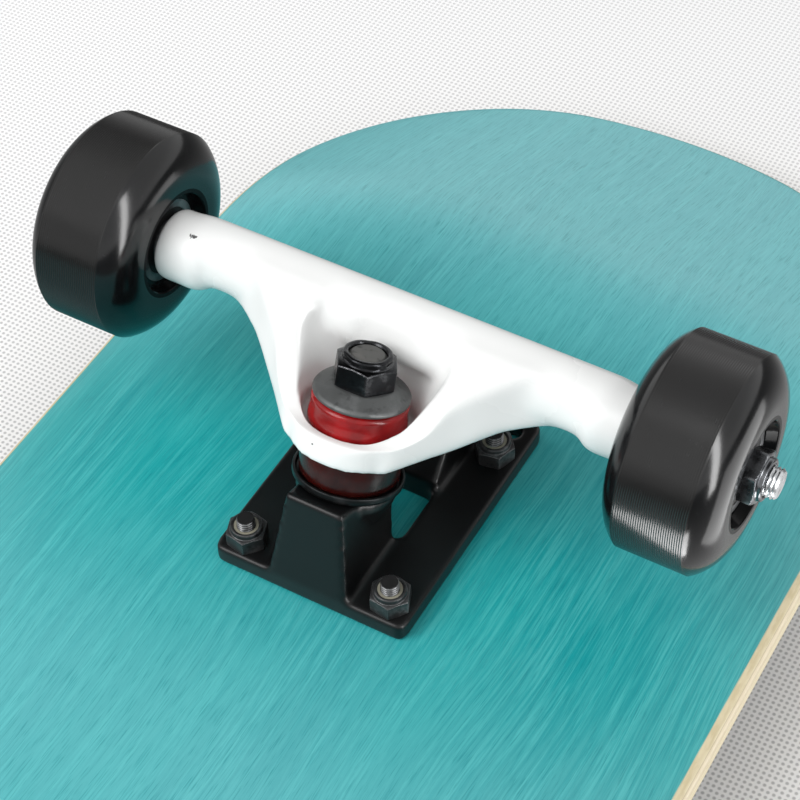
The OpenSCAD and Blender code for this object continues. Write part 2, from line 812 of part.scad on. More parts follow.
// One wheel: flat tread, crowned sides, and a hub with a seat for a bearing at each side.
module wheel(end, side) {
    wheel_r = wheel_d / 2;
    stand_out = (wheel_width - tread_width) / 2;
    side_arc = (crown_depth * crown_depth + stand_out * stand_out) / (2 * stand_out);
    hub_r = bearing_od / 2;
    mouth = hub_mouth_d / 2;
    color("#1d1e20")
        along_axle(end, side, wheel_y)
            rotate_extrude()
                difference() {
                    union() {
                        translate([0, -tread_width / 2]) square([wheel_r, tread_width]);
                        for (face = [0, 1])
                            mirror([0, face])
                                intersection() {
                                    translate([wheel_r - crown_depth, wheel_width / 2 - side_arc])
                                        circle(side_arc);
                                    square([wheel_r, wheel_width]);
                                }
                    }
                    translate([-cut, -wheel_width]) square([hub_r - 1.5 + cut, 2 * wheel_width]);
                    for (face = [0, 1])
                        mirror([0, face]) {
                            translate([0, spacer_length / 2]) square([hub_r, wheel_width]);
                            polygon([[0, hub_half], [hub_r + 1.2, hub_half],
                                [mouth, wheel_width / 2], [mouth + 0.6, wheel_width], [0, wheel_width]]);
                        }
                }
}

// Both bearings of a wheel, each drawn from its inner face outwards.
module at_bearings(end, side) {
    along_axle(end, side, wheel_y)
        for (face = [0, 1])
            mirror([0, 0, face]) translate([0, 0, spacer_length / 2]) children();
}

module race(inner, outer) {
    rotate_extrude()
        difference() {
            translate([inner, 0]) square([outer - inner, bearing_width]);
            translate([ball_path, bearing_width / 2]) circle(ball_d / 2 + running_gap);
        }
}

module bearing_cups(end, side) {
    color("#9a9c9f") at_bearings(end, side) race(ball_path + land_gap, bearing_od / 2);
}

module bearing_cones(end, side) {
    color("#b5b7ba") {
        at_bearings(end, side) race(axle_d / 2 + slip_gap, ball_path - land_gap);
        along_axle(end, side, wheel_y - spacer_length / 2)
            difference() {
                cylinder(d = 1.3 * axle_d, h = spacer_length);
                translate([0, 0, -cut])
                    cylinder(d = axle_d + 2 * slip_gap, h = spacer_length + 2 * cut);
            }
    }
}

module bearing_balls(end, side) {
    color("lightsteelblue")
        at_bearings(end, side)
            for (i = [1:ball_count])
                rotate(i * 360 / ball_count)
                    translate([ball_path, 0, bearing_width / 2]) sphere(d = ball_d);
}

module bearing_shields(end, side) {
    inner = ball_path - land_gap + 0.25;
    outer = ball_path + land_gap;
    sheet = 0.3;
    color("#26272a")
        at_bearings(end, side)
            for (z = [0.2, bearing_width - 0.2 - sheet])
                translate([0, 0, z])
                    difference() {
                        cylinder(r = outer, h = sheet);
                        translate([0, 0, -cut]) cylinder(r = inner, h = sheet + 2 * cut);
                    }
}

// ---------------------------------------------------------------- assembly

deck();
grip_tape();
for (end = ENDS) {
    at_truck(end) baseplate();
    at_truck(end) pivot_cup();
    at_truck(end) kingpin();
    at_truck(end) kingpin_nut();
    at_truck(end) lower_washer();
    at_truck(end) lower_bushing();
    at_truck(end) upper_bushing();
    at_truck(end) upper_washer();
    at_truck(end) hanger();
    at_truck(end) axle();
    at_truck(end) axle_nuts();
    at_truck(end) speed_washers();
    at_truck(end) mounting_bolts();
    at_truck(end) mounting_nuts();
    for (side = SIDES) {
        corner = str(end, "_", side);
        at_truck(end) wheel(end, side);
        at_truck(end) bearing_cups(end, side);
        at_truck(end) bearing_balls(end, side);
        at_truck(end) bearing_shields(end, side);
        at_truck(end) bearing_cones(end, side);
    }
}
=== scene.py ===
"""Skateboard: the modelled pieces, materials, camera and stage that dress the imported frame.

Lengths inside this file are in millimetres in a truck's own frame, unless a name says otherwise:
origin on the deck's underside in the middle of the bolt pattern, +x towards the nearer end of
the board, +z away from the deck. place() turns them into metres in the part's frame.
"""

import json
import math

import bpy
import numpy as np
from mathutils import Matrix, Vector

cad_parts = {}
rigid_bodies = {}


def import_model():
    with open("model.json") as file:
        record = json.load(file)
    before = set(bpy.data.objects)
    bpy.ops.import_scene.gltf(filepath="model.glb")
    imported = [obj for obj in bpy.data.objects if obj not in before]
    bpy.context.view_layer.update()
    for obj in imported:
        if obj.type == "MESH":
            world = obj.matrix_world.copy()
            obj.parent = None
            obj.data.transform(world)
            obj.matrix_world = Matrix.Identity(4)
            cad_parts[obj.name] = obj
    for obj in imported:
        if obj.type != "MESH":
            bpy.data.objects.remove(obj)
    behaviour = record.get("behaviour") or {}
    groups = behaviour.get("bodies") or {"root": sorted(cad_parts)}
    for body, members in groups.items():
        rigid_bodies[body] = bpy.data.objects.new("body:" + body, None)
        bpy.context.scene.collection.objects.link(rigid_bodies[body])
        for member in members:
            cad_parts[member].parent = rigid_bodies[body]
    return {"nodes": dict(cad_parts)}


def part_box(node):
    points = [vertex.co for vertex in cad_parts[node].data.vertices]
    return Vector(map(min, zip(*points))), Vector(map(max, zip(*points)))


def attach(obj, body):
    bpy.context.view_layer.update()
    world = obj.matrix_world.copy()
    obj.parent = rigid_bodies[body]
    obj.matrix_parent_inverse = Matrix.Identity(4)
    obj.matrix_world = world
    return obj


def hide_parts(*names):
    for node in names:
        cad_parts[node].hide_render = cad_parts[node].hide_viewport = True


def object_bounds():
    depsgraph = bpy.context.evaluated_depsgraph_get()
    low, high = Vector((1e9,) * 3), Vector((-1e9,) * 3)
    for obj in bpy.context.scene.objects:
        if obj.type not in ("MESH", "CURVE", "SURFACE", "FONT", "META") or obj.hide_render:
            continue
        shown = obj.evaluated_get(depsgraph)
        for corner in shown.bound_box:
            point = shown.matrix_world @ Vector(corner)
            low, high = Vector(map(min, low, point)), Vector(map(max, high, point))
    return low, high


bl_info = {
    "name": "Skateboard",
    "version": (1, 0, 0),
    "blender": (4, 5, 0),
    "location": "View3D > Sidebar > Skateboard",
    "description": "Dresses a packed skateboard with modelled pieces, materials and a stage",
    "category": "Object",
}

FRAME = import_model()
NODES = FRAME["nodes"]
CAD_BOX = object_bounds()
ENDS = ("front", "rear")
SIDES = ("left", "right")
MM = 0.001

# The frame's own places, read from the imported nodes
PLATE = {end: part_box(f"{end}_baseplate") for end in ENDS}
DECK_FLOOR = PLATE["front"][1].z / MM
PLATE_OFFSET = 4.5  # from the middle of the bolt pattern to the middle of the plate

# Sizes that the solids have as well
DECK_HALF = 103.25
DECK_THICK = 11.0
PLIES = 7
GRIP_THICK = 0.8
GRIP_MARGIN = 3.0
FLAT_HALF = 30.0
CONCAVE_RISE = 12.5
BEND_REACH = 77.0
BEND_RADIUS = 130.0
# Each end's reach from its truck, its angle and the radius of its corners
KICKS = {"front": (204.0, math.radians(19.0), 76.0), "rear": (195.0, math.radians(20.0), 70.0)}
STRAIGHT = 1.7  # from the end of the bend to the start of the corners
BOLTS = [(x, y) for x in (-27.0, 27.0) for y in (-20.65, 20.65)]
PLATE_THICK = 5.6
KINGPIN_TILT = math.radians(20.5)
KINGPIN_FOOT = 20.6
AXLE_AT = Vector((15.4, 0.0, 52.0))
SEAT = 27.0
LOWER_BUSHING = (28.2, 39.2, 12.8)  # from, to and radius, as for the upper one
UPPER_BUSHING = (42.8, 52.8, 12.4)
NUT_FOOT = 54.5
WHEEL_Y = 79.3
KINGPIN_BORE = 4.76
BUSHING_BORE = 5.05
BOLT_RADIUS = 2.4
BOLT_TIP = 14.1
AXLE_RADIUS = 4.0
AXLE_THREAD = 90.0  # from the board's middle to where the axle's thread starts
AXLE_TIP = 100.3
AXLE_NUT = 92.1
WHEEL_RADIUS = 27.5
WHEEL_HALF = 14.7
TREAD_HALF = 8.8
HUB_RADIUS = 11.0
HUB_MOUTH = 13.3

# Steps of the deck's mesh
CORNER_STEPS, TIP_STEPS, MIDDLE_STEPS, ACROSS_STEPS = 40, 24, 84, 40

# Shape of the hangers' castings
TIP_RADIUS = 9.3
TIP_LOW, TIP_HIGH, TIP_BEVEL = 56.0, 66.3, 1.2
RIM_FRONT, RIM_START, RIM_CURVE = 44.8, -13.0, 0.075  # the rim's height, and how it rises
RIM_REACH = 22.0  # how far from the kingpin's axis the rim is trimmed
LEAST_SMOOTHING = 0.2  # share of the smoothing that reaches the seats and the tips

# Chips in the front hanger's coat, as (place, reach in metres)
CHIPS = [
    ((12.5, 56.8, 60.8), 0.0026),
    ((-20.8, 3.2, 45.7), 0.0009),
    ((-19.1, -1.7, 47.9), 0.0008),
]


# ---------------------------------------------------------------- colour and nodes


def linear(code):
    """The linear colour of an sRGB hex code."""
    parts = (int(code[i : i + 2], 16) / 255 for i in (1, 3, 5))
    return (*(c / 12.92 if c <= 0.04045 else ((c + 0.055) / 1.055) ** 2.4 for c in parts), 1.0)


class Nodes:
    """A material's or world's node tree, filled one call at a time."""

    def __init__(self, tree):
        self.tree = tree
        self.tree.nodes.clear()

    def add(self, kind, values=None, **settings):
        """Adds a node, sets its properties, and sets or links its inputs."""
        node = self.tree.nodes.new(kind)
        for name, value in settings.items():
            setattr(node, name, value)
        for key, value in (values or {}).items():
            if isinstance(value, bpy.types.NodeSocket):
                self.tree.links.new(value, node.inputs[key])
            else:
                node.inputs[key].default_value = value
        return node

    def math(self, operation, a, b=0.0):
        return self.add("ShaderNodeMath", {0: a, 1: b}, operation=operation).outputs[0]

    def vector(self, operation, a, b, output="Value"):
        node = self.add("ShaderNodeVectorMath", {0: a, 1: b}, operation=operation)
        return node.outputs[output]

    def span(self, value, low, high, to_low=0.0, to_high=1.0):
        """Maps a value from one range to another, clamped and eased."""
        values = {"Value": value, "From Min": low, "From Max": high}
        values.update({"To Min": to_low, "To Max": to_high})
        node = self.add("ShaderNodeMapRange", values, interpolation_type="SMOOTHSTEP")
        return node.outputs["Result"]

    def mix(self, factor, a, b):
        """Mixes two colours, given as sockets, linear values or sRGB hex codes."""
        a, b = (linear(c) if isinstance(c, str) else c for c in (a, b))
        return self.add("ShaderNodeMix", {0: factor, 6: a, 7: b}, data_type="RGBA").outputs[2]

    def noise(self, vector, scale, detail=3.0, rough=0.5):
        node = self.add(
            "ShaderNodeTexNoise",
            {"Vector": vector, "Scale": scale, "Detail": detail, "Roughness": rough},
        )
        return node.outputs["Fac"]

    def stretch(self, vector, scale):
        return self.add("ShaderNodeMapping", {"Vector": vector, "Scale": scale}).outputs[0]

    def objects(self):
        return self.add("ShaderNodeTexCoord").outputs["Object"]

    def bump(self, height, distance, strength, **normal):
        values = {"Height": height, "Distance": distance, "Strength": strength, **normal}
        return self.add("ShaderNodeBump", values).outputs[0]

    def soft_edges(self, radius):
        """Normals that round sharp edges over by the radius, and a mask of those edges."""
        bevel = self.add("ShaderNodeBevel", {"Radius": radius}, samples=4).outputs[0]
        normal = self.add("ShaderNodeNewGeometry").outputs["Normal"]
        return bevel, self.span(self.vector("DOT_PRODUCT", bevel, normal), 0.99, 0.86)

    def finish(self, shader):
        self.add("ShaderNodeOutputMaterial", {"Surface": shader})

    def principled(self, values):
        return self.add("ShaderNodeBsdfPrincipled", values).outputs[0]


def material(name, slot_colour):
    """A new empty material and its nodes; the colour shows in the plain viewport."""
    made = bpy.data.materials.new(name)
    made.use_nodes = True
    made.diffuse_color = linear(slot_colour)
    return made, Nodes(made.node_tree)


# ---------------------------------------------------------------- places


def place(end):
    """The matrix from a truck's own millimetres to metres in the part's frame."""
    middle = (PLATE[end][0].x + PLATE[end][1].x) / 2 / MM
    turn = 0.0 if end == "front" else math.pi
    x = middle - PLATE_OFFSET * math.cos(turn)
    return (
        Matrix.Scale(MM, 4)
        @ Matrix.Translation((x, 0.0, DECK_FLOOR))
        @ Matrix.Rotation(math.pi, 4, "X")
        @ Matrix.Rotation(turn, 4, "Z")
    )


def kingpin_place(end, height=0.0):
    """The same, with z along the kingpin's axis."""
    return (
        place(end)
        @ Matrix.Translation((-KINGPIN_FOOT, 0.0, 0.0))
        @ Matrix.Rotation(KINGPIN_TILT, 4, "Y")
        @ Matrix.Translation((0.0, 0.0, height))
    )


def axle_place(end, side, out=0.0):
    """The same, with z along the axle, outwards on the given side of the board."""
    outwards = -1 if (end == "front") == (side == "left") else 1
    return (
        place(end)
        @ Matrix.Translation(AXLE_AT)
        @ Matrix.Rotation(-math.pi / 2 * outwards, 4, "X")
        @ Matrix.Translation((0.0, 0.0, out))
    )


# ---------------------------------------------------------------- meshes


def build(name, parts, materials, body, node, sharp=35.0):
    """Makes one object of (vertices, faces, matrix, material index or indices) parts."""
    points, faces, indices = [], [], []
    for verts, polys, matrix, index in parts:
        start = len(points)
        flipped = matrix.determinant() < 0
        points += [matrix @ Vector(v) for v in verts]
        faces += [[start + i for i in (reversed(p) if flipped else p)] for p in polys]
        indices += [index] * len(polys) if isinstance(index, int) else index
    mesh = bpy.data.meshes.new(name)
    mesh.from_pydata(points, [], faces)
    for item in materials:
        mesh.materials.append(item)
    mesh.polygons.foreach_set("material_index", indices)
    finish_mesh(mesh, sharp)
    return show(name, mesh, body, node)


def finish_mesh(mesh, sharp):
    mesh.polygons.foreach_set("use_smooth", [True] * len(mesh.polygons))
    mesh.validate()
    mesh.set_sharp_from_angle(angle=math.radians(sharp))


def show(name, mesh, body, node):
    """Makes an object of the mesh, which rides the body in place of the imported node."""
    piece = bpy.data.objects.new(name, mesh)
    bpy.context.scene.collection.objects.link(piece)
    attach(piece, body)
    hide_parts(node)
    return piece


def skin(rows, closed=True):
    """Faces over rows of equally many points; a row of one point is a pole."""
    verts, faces, starts = [], [], []
    for row in rows:
        starts.append(len(verts))
        verts += row
    for (a, row), (b, following) in zip(zip(starts, rows), zip(starts[1:], rows[1:])):
        count = max(len(row), len(following))
        for i in range(count if closed else count - 1):
            j = (i + 1) % count
            if len(row) == 1:
                faces.append((a, b + j, b + i))
            elif len(following) == 1:
                faces.append((a + i, a + j, b))
            else:
                faces.append((a + i, a + j, b + j, b + i))
    return verts, faces


def ring_row(radius, z, segments=144):
    turn = [2 * math.pi * i / segments for i in range(segments)]
    return [(radius * math.cos(t), radius * math.sin(t), z) for t in turn]


def revolve(profile, segments=96):
    """A turned form from (radius, height) points, listed so that the outside is on the right."""
    return skin([[(0.0, 0.0, z)] if r < 1e-6 else ring_row(r, z, segments) for r, z in profile])


def rounded(points, radius, steps=4):
    """A polyline with its inner corners rounded by the radius, where they leave room for it."""
    made = [points[0]]
    for before, corner, after in zip(points, points[1:], points[2:]):
        c = Vector(corner)
        back, on = Vector(before) - c, Vector(after) - c
        reach = min(radius, back.length * 0.45, on.length * 0.45)
        start, end = c + back.normalized() * reach, c + on.normalized() * reach
        for k in range(steps + 1):
            t = k / steps
            made.append(tuple(start * (1 - t) ** 2 + c * (2 * t * (1 - t)) + end * t * t))
    made.append(points[-1])
    return made


def hex_radius(angle, across):
    """The radius of a hexagon, of the given width across its flats, at an angle."""
    sixth = math.pi / 3
    return across / 2 / math.cos((angle % sixth) - sixth / 2)


def turned_hex(across, levels, segments=144):
    """A hexagon with turned corners. levels are (height, turning radius) pairs."""
    turn = [2 * math.pi * i / segments for i in range(segments)]
    rows = []
    for z, limit in levels:
        radii = [min(hex_radius(t, across), limit) for t in turn]
        rows.append([(r * math.cos(t), r * math.sin(t), z) for r, t in zip(radii, turn)])
    return rows


def lock_nut(across, height, bore, collar, crimps=0):
    """A lock nut from z = 0: turned hexagon, rolled collar, and the insert inside it."""
    corner = across / 2 / math.cos(math.pi / 6)
    top = height * 0.76
    edge = across * 0.035
    low = [(k * edge * 0.6 / 4, corner - edge * 2 * (1 - (k / 4) ** 0.7)) for k in range(5)]
    steps = [k / 5 for k in range(6)]
    high = [(top - edge * 1.3 * (1 - t), corner - edge * 3.2 * t**1.6) for t in steps]
    rows = [ring_row(bore, 0.0), ring_row(corner - edge * 2.4, 0.0)]
    rows += turned_hex(across, low + high)
    inner = collar * 0.8
    profile = rounded(
        [
            (collar * 1.03, top),
            (collar, top + 0.25),
            (collar, height - 0.25),
            (collar - 0.35, height),
            (inner, height),
            (inner, height - 0.35),
            (bore, height - 0.4),
            (bore, height - 1.4),
        ],
        0.25,
        3,
    )
    for r, z in profile:
        row = []
        for x, y, z0 in ring_row(r, z):
            angle = math.atan2(y, x)
            dent = 0.0
            if crimps and r > inner and z > top + 0.3:
                dent = 0.45 * max(0.0, math.cos(angle * crimps) - 0.55)
            row.append((x * (1 - dent / r), y * (1 - dent / r), z0))
        rows.append(row)
    return skin(rows)


def thread(radius, depth, pitch, low, high, tip, segments=48, steps=10):
    """A threaded end from low to high, closed by a bevelled face, and 1 for each crest's face,
    which marks where a stud's painted highlight goes.
    """
    count = int((high - low) / pitch * steps)
    rows, kinds = [], []
    for k in range(count + 1):
        z = low + (high - low) * k / count
        fade = min(1.0, (z - low) / pitch) * depth
        row = []
        for i in range(segments):
            t = 2 * math.pi * i / segments
            phase = ((z / pitch - t / (2 * math.pi)) % 1.0) * 2 - 1
            r = radius - fade * abs(phase) ** 0.8
            r = min(r, radius - max(0.0, z - (high - tip)) * 0.9)
            row.append((r * math.cos(t), r * math.sin(t), z))
            kinds.append(int(abs(phase) < 0.4))
        rows.append(row)
    face = radius - tip * 1.05
    rows += [ring_row(face * share, high, segments) for share in (0.96, 0.5)]
    rows.append([(0.0, 0.0, high - 0.05)])
    verts, faces = skin(rows)
    kinds = kinds[: count * segments]
    return verts, faces, kinds + [0] * (len(faces) - len(kinds))


# ---------------------------------------------------------------- deck geometry


def end_of_deck(end):
    """Start of the bend along the board, its arc length, the kick's length and its corner."""
    reach, angle, corner = KICKS[end]
    start = abs(truck_x(end)) + BEND_REACH
    length = (reach - BEND_REACH - BEND_RADIUS * math.sin(angle)) / math.cos(angle)
    return start, BEND_RADIUS * angle, length, corner


def truck_x(end):
    return (place(end) @ Vector((0, 0, 0))).x / MM


def half_outline(end, inset=0.0):
    """(along, half width) pairs of one end, from the start of its bend to its tip."""
    start, arc, length, corner = end_of_deck(end)
    base = start + arc + STRAIGHT
    reach = length - STRAIGHT
    corner_y = DECK_HALF - corner
    tip_radius = (corner_y**2 + reach**2 - corner**2) / (2 * (reach - corner))
    tip_x = reach - tip_radius
    meet = math.atan2(corner_y, -tip_x)
    points = [(base, DECK_HALF - inset)]
    turn = math.pi / 2 - meet
    r = corner - inset
    for k in range(1, CORNER_STEPS + 1):
        t = math.pi / 2 - turn * k / CORNER_STEPS
        points.append((base + r * math.cos(t), corner_y + r * math.sin(t)))
    r = tip_radius - inset
    for k in range(1, TIP_STEPS + 1):
        t = meet * (1 - k / TIP_STEPS)
        points.append((base + tip_x + r * math.cos(t), r * math.sin(t)))
    return points


def deck_outline(inset=0.0):
    """(x, half width) pairs along the flattened board, from the tail's tip to the nose's."""
    nose = half_outline("front", inset)
    tail = [(-x, w) for x, w in half_outline("rear", inset)][::-1]
    low, high = tail[-1][0], nose[0][0]
    steps = range(1, MIDDLE_STEPS)
    middle = [(low + (high - low) * k / MIDDLE_STEPS, DECK_HALF - inset) for k in steps]
    return tail + middle + nose


def layer_height(y, depth):
    """Height of a layer above the flat strip's underside, across the board."""
    run = max(0.0, abs(y) - FLAT_HALF)
    full = DECK_HALF - FLAT_HALF
    arc = (full**2 + CONCAVE_RISE**2) / (2 * CONCAVE_RISE)
    return arc - math.sqrt((arc - depth) ** 2 - run**2)


def bent(x, y, depth):
    """Where a point of the flattened board lies, in metres."""
    z = layer_height(y, depth)
    end = "front" if x > 0 else "rear"
    sign = 1 if x > 0 else -1
    start, arc = end_of_deck(end)[:2]
    along = abs(x) - start
    if along > 0:
        t = min(along, arc) / BEND_RADIUS
        over = max(0.0, along - arc)
        lever = BEND_RADIUS - z
        x = sign * (start + lever * math.sin(t) + over * math.cos(t))
        z = BEND_RADIUS - lever * math.cos(t) + over * math.sin(t)
    return (x * MM, y * MM, (DECK_FLOOR + z) * MM)


def slab(name, rings, made, node):
    """A bent sheet. rings are (inset, depth) pairs from the underside's rim to the top's."""
    count = len(deck_outline())
    flat, faces = [], []

    def add_point(x, y, depth):
        flat.append((x, y, depth))
        return len(flat) - 1

    loops = []
    for inset, depth in rings:
        line = deck_outline(inset)
        right = [add_point(x, -w, depth) for x, w in line]
        left = [right[0]] + [add_point(x, w, depth) for x, w in line[1:-1]] + [right[-1]]
        loops.append((line, right, left))
    for (_, r0, l0), (_, r1, l1) in zip(loops, loops[1:]):
        for i in range(count - 1):
            faces.append((r0[i], r0[i + 1], r1[i + 1], r1[i]))
            faces.append((l0[i + 1], l0[i], l1[i], l1[i + 1]))
    for which, up in ((0, False), (-1, True)):
        line, right, left = loops[which]
        depth = rings[which][1]
        columns = []
        for i, (x, w) in enumerate(line):
            if right[i] == left[i]:
                columns.append([right[i]])
                continue
            shares = [2 * k / ACROSS_STEPS - 1 for k in range(1, ACROSS_STEPS)]
            inner = [add_point(x, w * share, depth) for share in shares]
            columns.append([right[i]] + inner + [left[i]])
        for a, b in zip(columns, columns[1:]):
            for k in range(ACROSS_STEPS):
                if len(a) == 1:
                    face = (a[0], b[k], b[k + 1])
                elif len(b) == 1:
                    face = (a[k], b[0], a[k + 1])
                else:
                    face = (a[k], b[k], b[k + 1], a[k + 1])
                faces.append(face if up else face[::-1])
    mesh = bpy.data.meshes.new(name)
    mesh.from_pydata([bent(*p) for p in flat], [], faces)
    mesh.materials.append(made)
    store = mesh.attributes.new("board", "FLOAT_VECTOR", "POINT")
    store.data.foreach_set("vector", [c for p in flat for c in p])
    finish_mesh(mesh, 50.0)
    show(name, mesh, "board", node)


# ---------------------------------------------------------------- materials


def wood_material(name, settings):
    """Stained face veneer below, paled by painted sheen towards the nose and the board's middle,
    and bare maple plies along the rounded edge.
    """
    made, n = material(name, settings.stain)
    board = n.add("ShaderNodeAttribute", attribute_name="board", attribute_type="GEOMETRY")
    place_on = board.outputs["Vector"]
    split = n.add("ShaderNodeSeparateXYZ", {0: place_on})
    along, depth = split.outputs["X"], split.outputs["Z"]
    drift = n.noise(n.stretch(place_on, (0.006, 0.02, 0.02)), 1.0, 3.0)
    figure = n.noise(n.stretch(place_on, (0.008, 0.014, 0.014)), 1.0, 1.0)
    sway = n.add("ShaderNodeCombineXYZ", {"Y": n.math("MULTIPLY", figure, 12.0)}).outputs[0]
    grown = n.vector("ADD", place_on, sway, "Vector")
    fibre = n.noise(n.stretch(grown, (0.04, 1.5, 1.5)), 1.0, 5.0, 0.65)
    streak = n.noise(n.stretch(grown, (0.012, 0.3, 0.3)), 1.0, 4.0, 0.6)
    pores = n.noise(n.stretch(grown, (0.11, 3.4, 3.4)), 1.0, 2.0, 0.6)
    stain = n.mix(n.span(fibre, 0.38, 0.62), "#0A979B", settings.stain)
    stain = n.mix(n.span(streak, 0.4, 0.6, 0.5, 0.0), stain, "#058E93")
    stain = n.mix(n.span(drift, 0.4, 0.62, 0.0, 0.3), stain, "#1CAAA8")
    # Painted sheen: the next two mixes pale the stain towards the nose and towards the board's
    # middle, a reflection of bright surroundings painted into the colour, so from here on stain
    # holds painted sheen as well as the real stain.
    stain = n.mix(n.span(along, 200.0, 330.0, 0.0, 0.42), stain, "#92D8E0")
    stain = n.mix(n.span(along, 195.0, 110.0, 0.0, 0.36), stain, "#8ACFD6")
    stain = n.mix(n.span(pores, 0.54, 0.66, 0.0, 0.45), stain, "#007C84")
    ply = n.math("DIVIDE", depth, DECK_THICK / PLIES)
    glue = n.math("LESS_THAN", n.math("FRACT", ply), 0.09)
    cross = n.math("GREATER_THAN", n.math("PINGPONG", ply, 2.0), 1.0)
    grain = n.noise(n.stretch(place_on, (0.25, 0.25, 1.6)), 1.0, 4.0)
    maple = n.mix(n.span(grain, 0.35, 0.65), "#D8C89E", settings.maple)
    maple = n.mix(n.math("MULTIPLY", cross, 0.35), maple, "#BBA57E")
    maple = n.mix(n.math("MULTIPLY", glue, 0.35), maple, "#8E7350")
    rim = n.math("ADD", depth, n.span(fibre, 0.3, 0.7, -0.02, 0.02))
    bare = n.span(rim, 0.14, 0.3)
    colour = n.mix(bare, stain, maple)
    rough = n.span(fibre, 0.2, 0.8, 0.34, 0.27)
    height = n.math("ADD", n.math("MULTIPLY", fibre, 0.7), n.math("MULTIPLY", pores, -0.5))
    values = {
        "Base Color": colour,
        "Roughness": rough,
        "Specular IOR Level": 0.6,
        "Normal": n.bump(height, 0.00006, 0.5),
    }
    n.finish(n.principled(values))
    return made


def grip_material(name, settings):
    made, n = material(name, settings.grip)
    place_on = n.objects()
    grit = n.noise(place_on, 2600.0, 2.0, 0.7)
    sparkle = n.span(n.noise(place_on, 5200.0, 0.0), 0.68, 0.74)
    colour = n.mix(n.span(grit, 0.35, 0.7), "#0C0C0D", settings.grip)
    colour = n.mix(n.math("MULTIPLY", sparkle, 0.3), colour, "#6A6A6C")
    values = {"Base Color": colour, "Roughness": 0.85, "Normal": n.bump(grit, 0.0003, 0.9)}
    n.finish(n.principled(values))
    return made


def paint_material(name, colour_code, rough, chip_code, chips=()):
    """A coat, broken through to what is under it near the given points.

    chips are (place in the part's frame, reach) pairs in metres.
    """
    made, n = material(name, colour_code)
    place_on = n.objects()
    peel = n.noise(place_on, 900.0, 2.0)
    cloud = n.noise(place_on, 28.0, 4.0)
    shade = tuple(c * 0.9 for c in linear(colour_code)[:3]) + (1.0,)
    colour = n.mix(n.span(cloud, 0.35, 0.7, 0.0, 0.6), colour_code, shade)
    broken = n.noise(place_on, 900.0, 3.0, 0.7)
    for spot, reach in chips:
        far = n.vector("DISTANCE", place_on, spot)
        edge = n.math("ADD", n.span(far, 0.0, reach, 0.5, 0.0), broken)
        colour = n.mix(n.span(edge, 0.92, 0.96), colour, chip_code)
    values = {
        "Base Color": colour,
        "Roughness": n.span(cloud, 0.3, 0.7, rough, rough + 0.08),
        "Specular IOR Level": 0.34,
        "Normal": n.bump(peel, 0.00004, 0.35),
    }
    n.finish(n.principled(values))
    return made


def metal_material(
    name, colour_code, rough, wear_code, wear, edge_radius=0.0, metallic=1.0, grime="#0E0E0F"
):
    """Plated or blackened steel with brushed variation and brighter worn places."""
    made, n = material(name, colour_code)
    place_on = n.objects()
    cloud = n.noise(place_on, 160.0, 5.0, 0.65)
    fine = n.noise(place_on, 1500.0, 2.0)
    worn = n.span(cloud, 0.5, 0.66, 0.0, wear)
    dirt = n.span(n.noise(place_on, 420.0, 3.0), 0.56, 0.7, 0.0, 0.5)
    colour = n.mix(worn, colour_code, wear_code)
    colour = n.mix(dirt, colour, grime)
    normal = n.bump(fine, 0.00003, 0.3)
    if edge_radius:
        bevel, edges = n.soft_edges(edge_radius)
        colour = n.mix(n.math("MULTIPLY", edges, 0.55), colour, wear_code)
        normal = n.bump(fine, 0.00003, 0.3, Normal=bevel)
    values = {
        "Base Color": colour,
        "Metallic": metallic,
        "Roughness": n.span(cloud, 0.3, 0.7, rough, rough + 0.14),
        "Normal": normal,
    }
    n.finish(n.principled(values))
    return made


def urethane_material(name, colour_code):
    """Translucent red bushing: light passes a little way into it."""
    made, n = material(name, colour_code)
    cloud = n.noise(n.objects(), 120.0, 3.0)
    deep = tuple(c * 0.6 for c in linear(colour_code))
    colour = n.mix(n.span(cloud, 0.35, 0.65), colour_code, deep)
    values = {
        "Base Color": colour,
        "Roughness": 0.22,
        "Specular IOR Level": 0.38,
        "Subsurface Weight": 0.3,
        "Subsurface Radius": (0.003, 0.0004, 0.0003),
        "Subsurface Scale": 1.0,
    }
    n.finish(n.principled(values))
    return made


def wheel_material(name, settings):
    """Cast urethane: a ribbed satin tread between glossier shoulders."""
    made, n = material(name, settings.wheel)
    place_on = n.objects()
    tread = n.add("ShaderNodeAttribute", attribute_name="tread", attribute_type="GEOMETRY")
    place_in = tread.outputs["Fac"]
    on_tread = n.math("GREATER_THAN", place_in, 0.25)
    in_hub = n.math("LESS_THAN", place_in, -0.25)
    crest = n.span(place_in, 0.5, 1.0)
    cloud = n.noise(place_on, 45.0, 4.0, 0.6)
    dust = n.span(n.noise(place_on, 700.0, 2.0, 0.7), 0.66, 0.74, 0.0, 0.25)
    colour = n.mix(n.span(cloud, 0.4, 0.7, 0.0, 0.5), settings.wheel, "#141517")
    colour = n.mix(n.math("MULTIPLY", on_tread, crest), colour, "#1D1C1B")
    colour = n.mix(dust, colour, "#333436")
    rough = n.math("ADD", n.span(cloud, 0.3, 0.7, 0.12, 0.18), n.math("MULTIPLY", on_tread, 0.06))
    values = {
        "Base Color": colour,
        "Roughness": rough,
        "Specular IOR Level": n.math("ADD", n.math("MULTIPLY", in_hub, -0.38), 0.42),
        "Normal": n.bump(n.noise(place_on, 1200.0, 2.0), 0.00002, 0.2),
    }
    n.finish(n.principled(values))
    return made


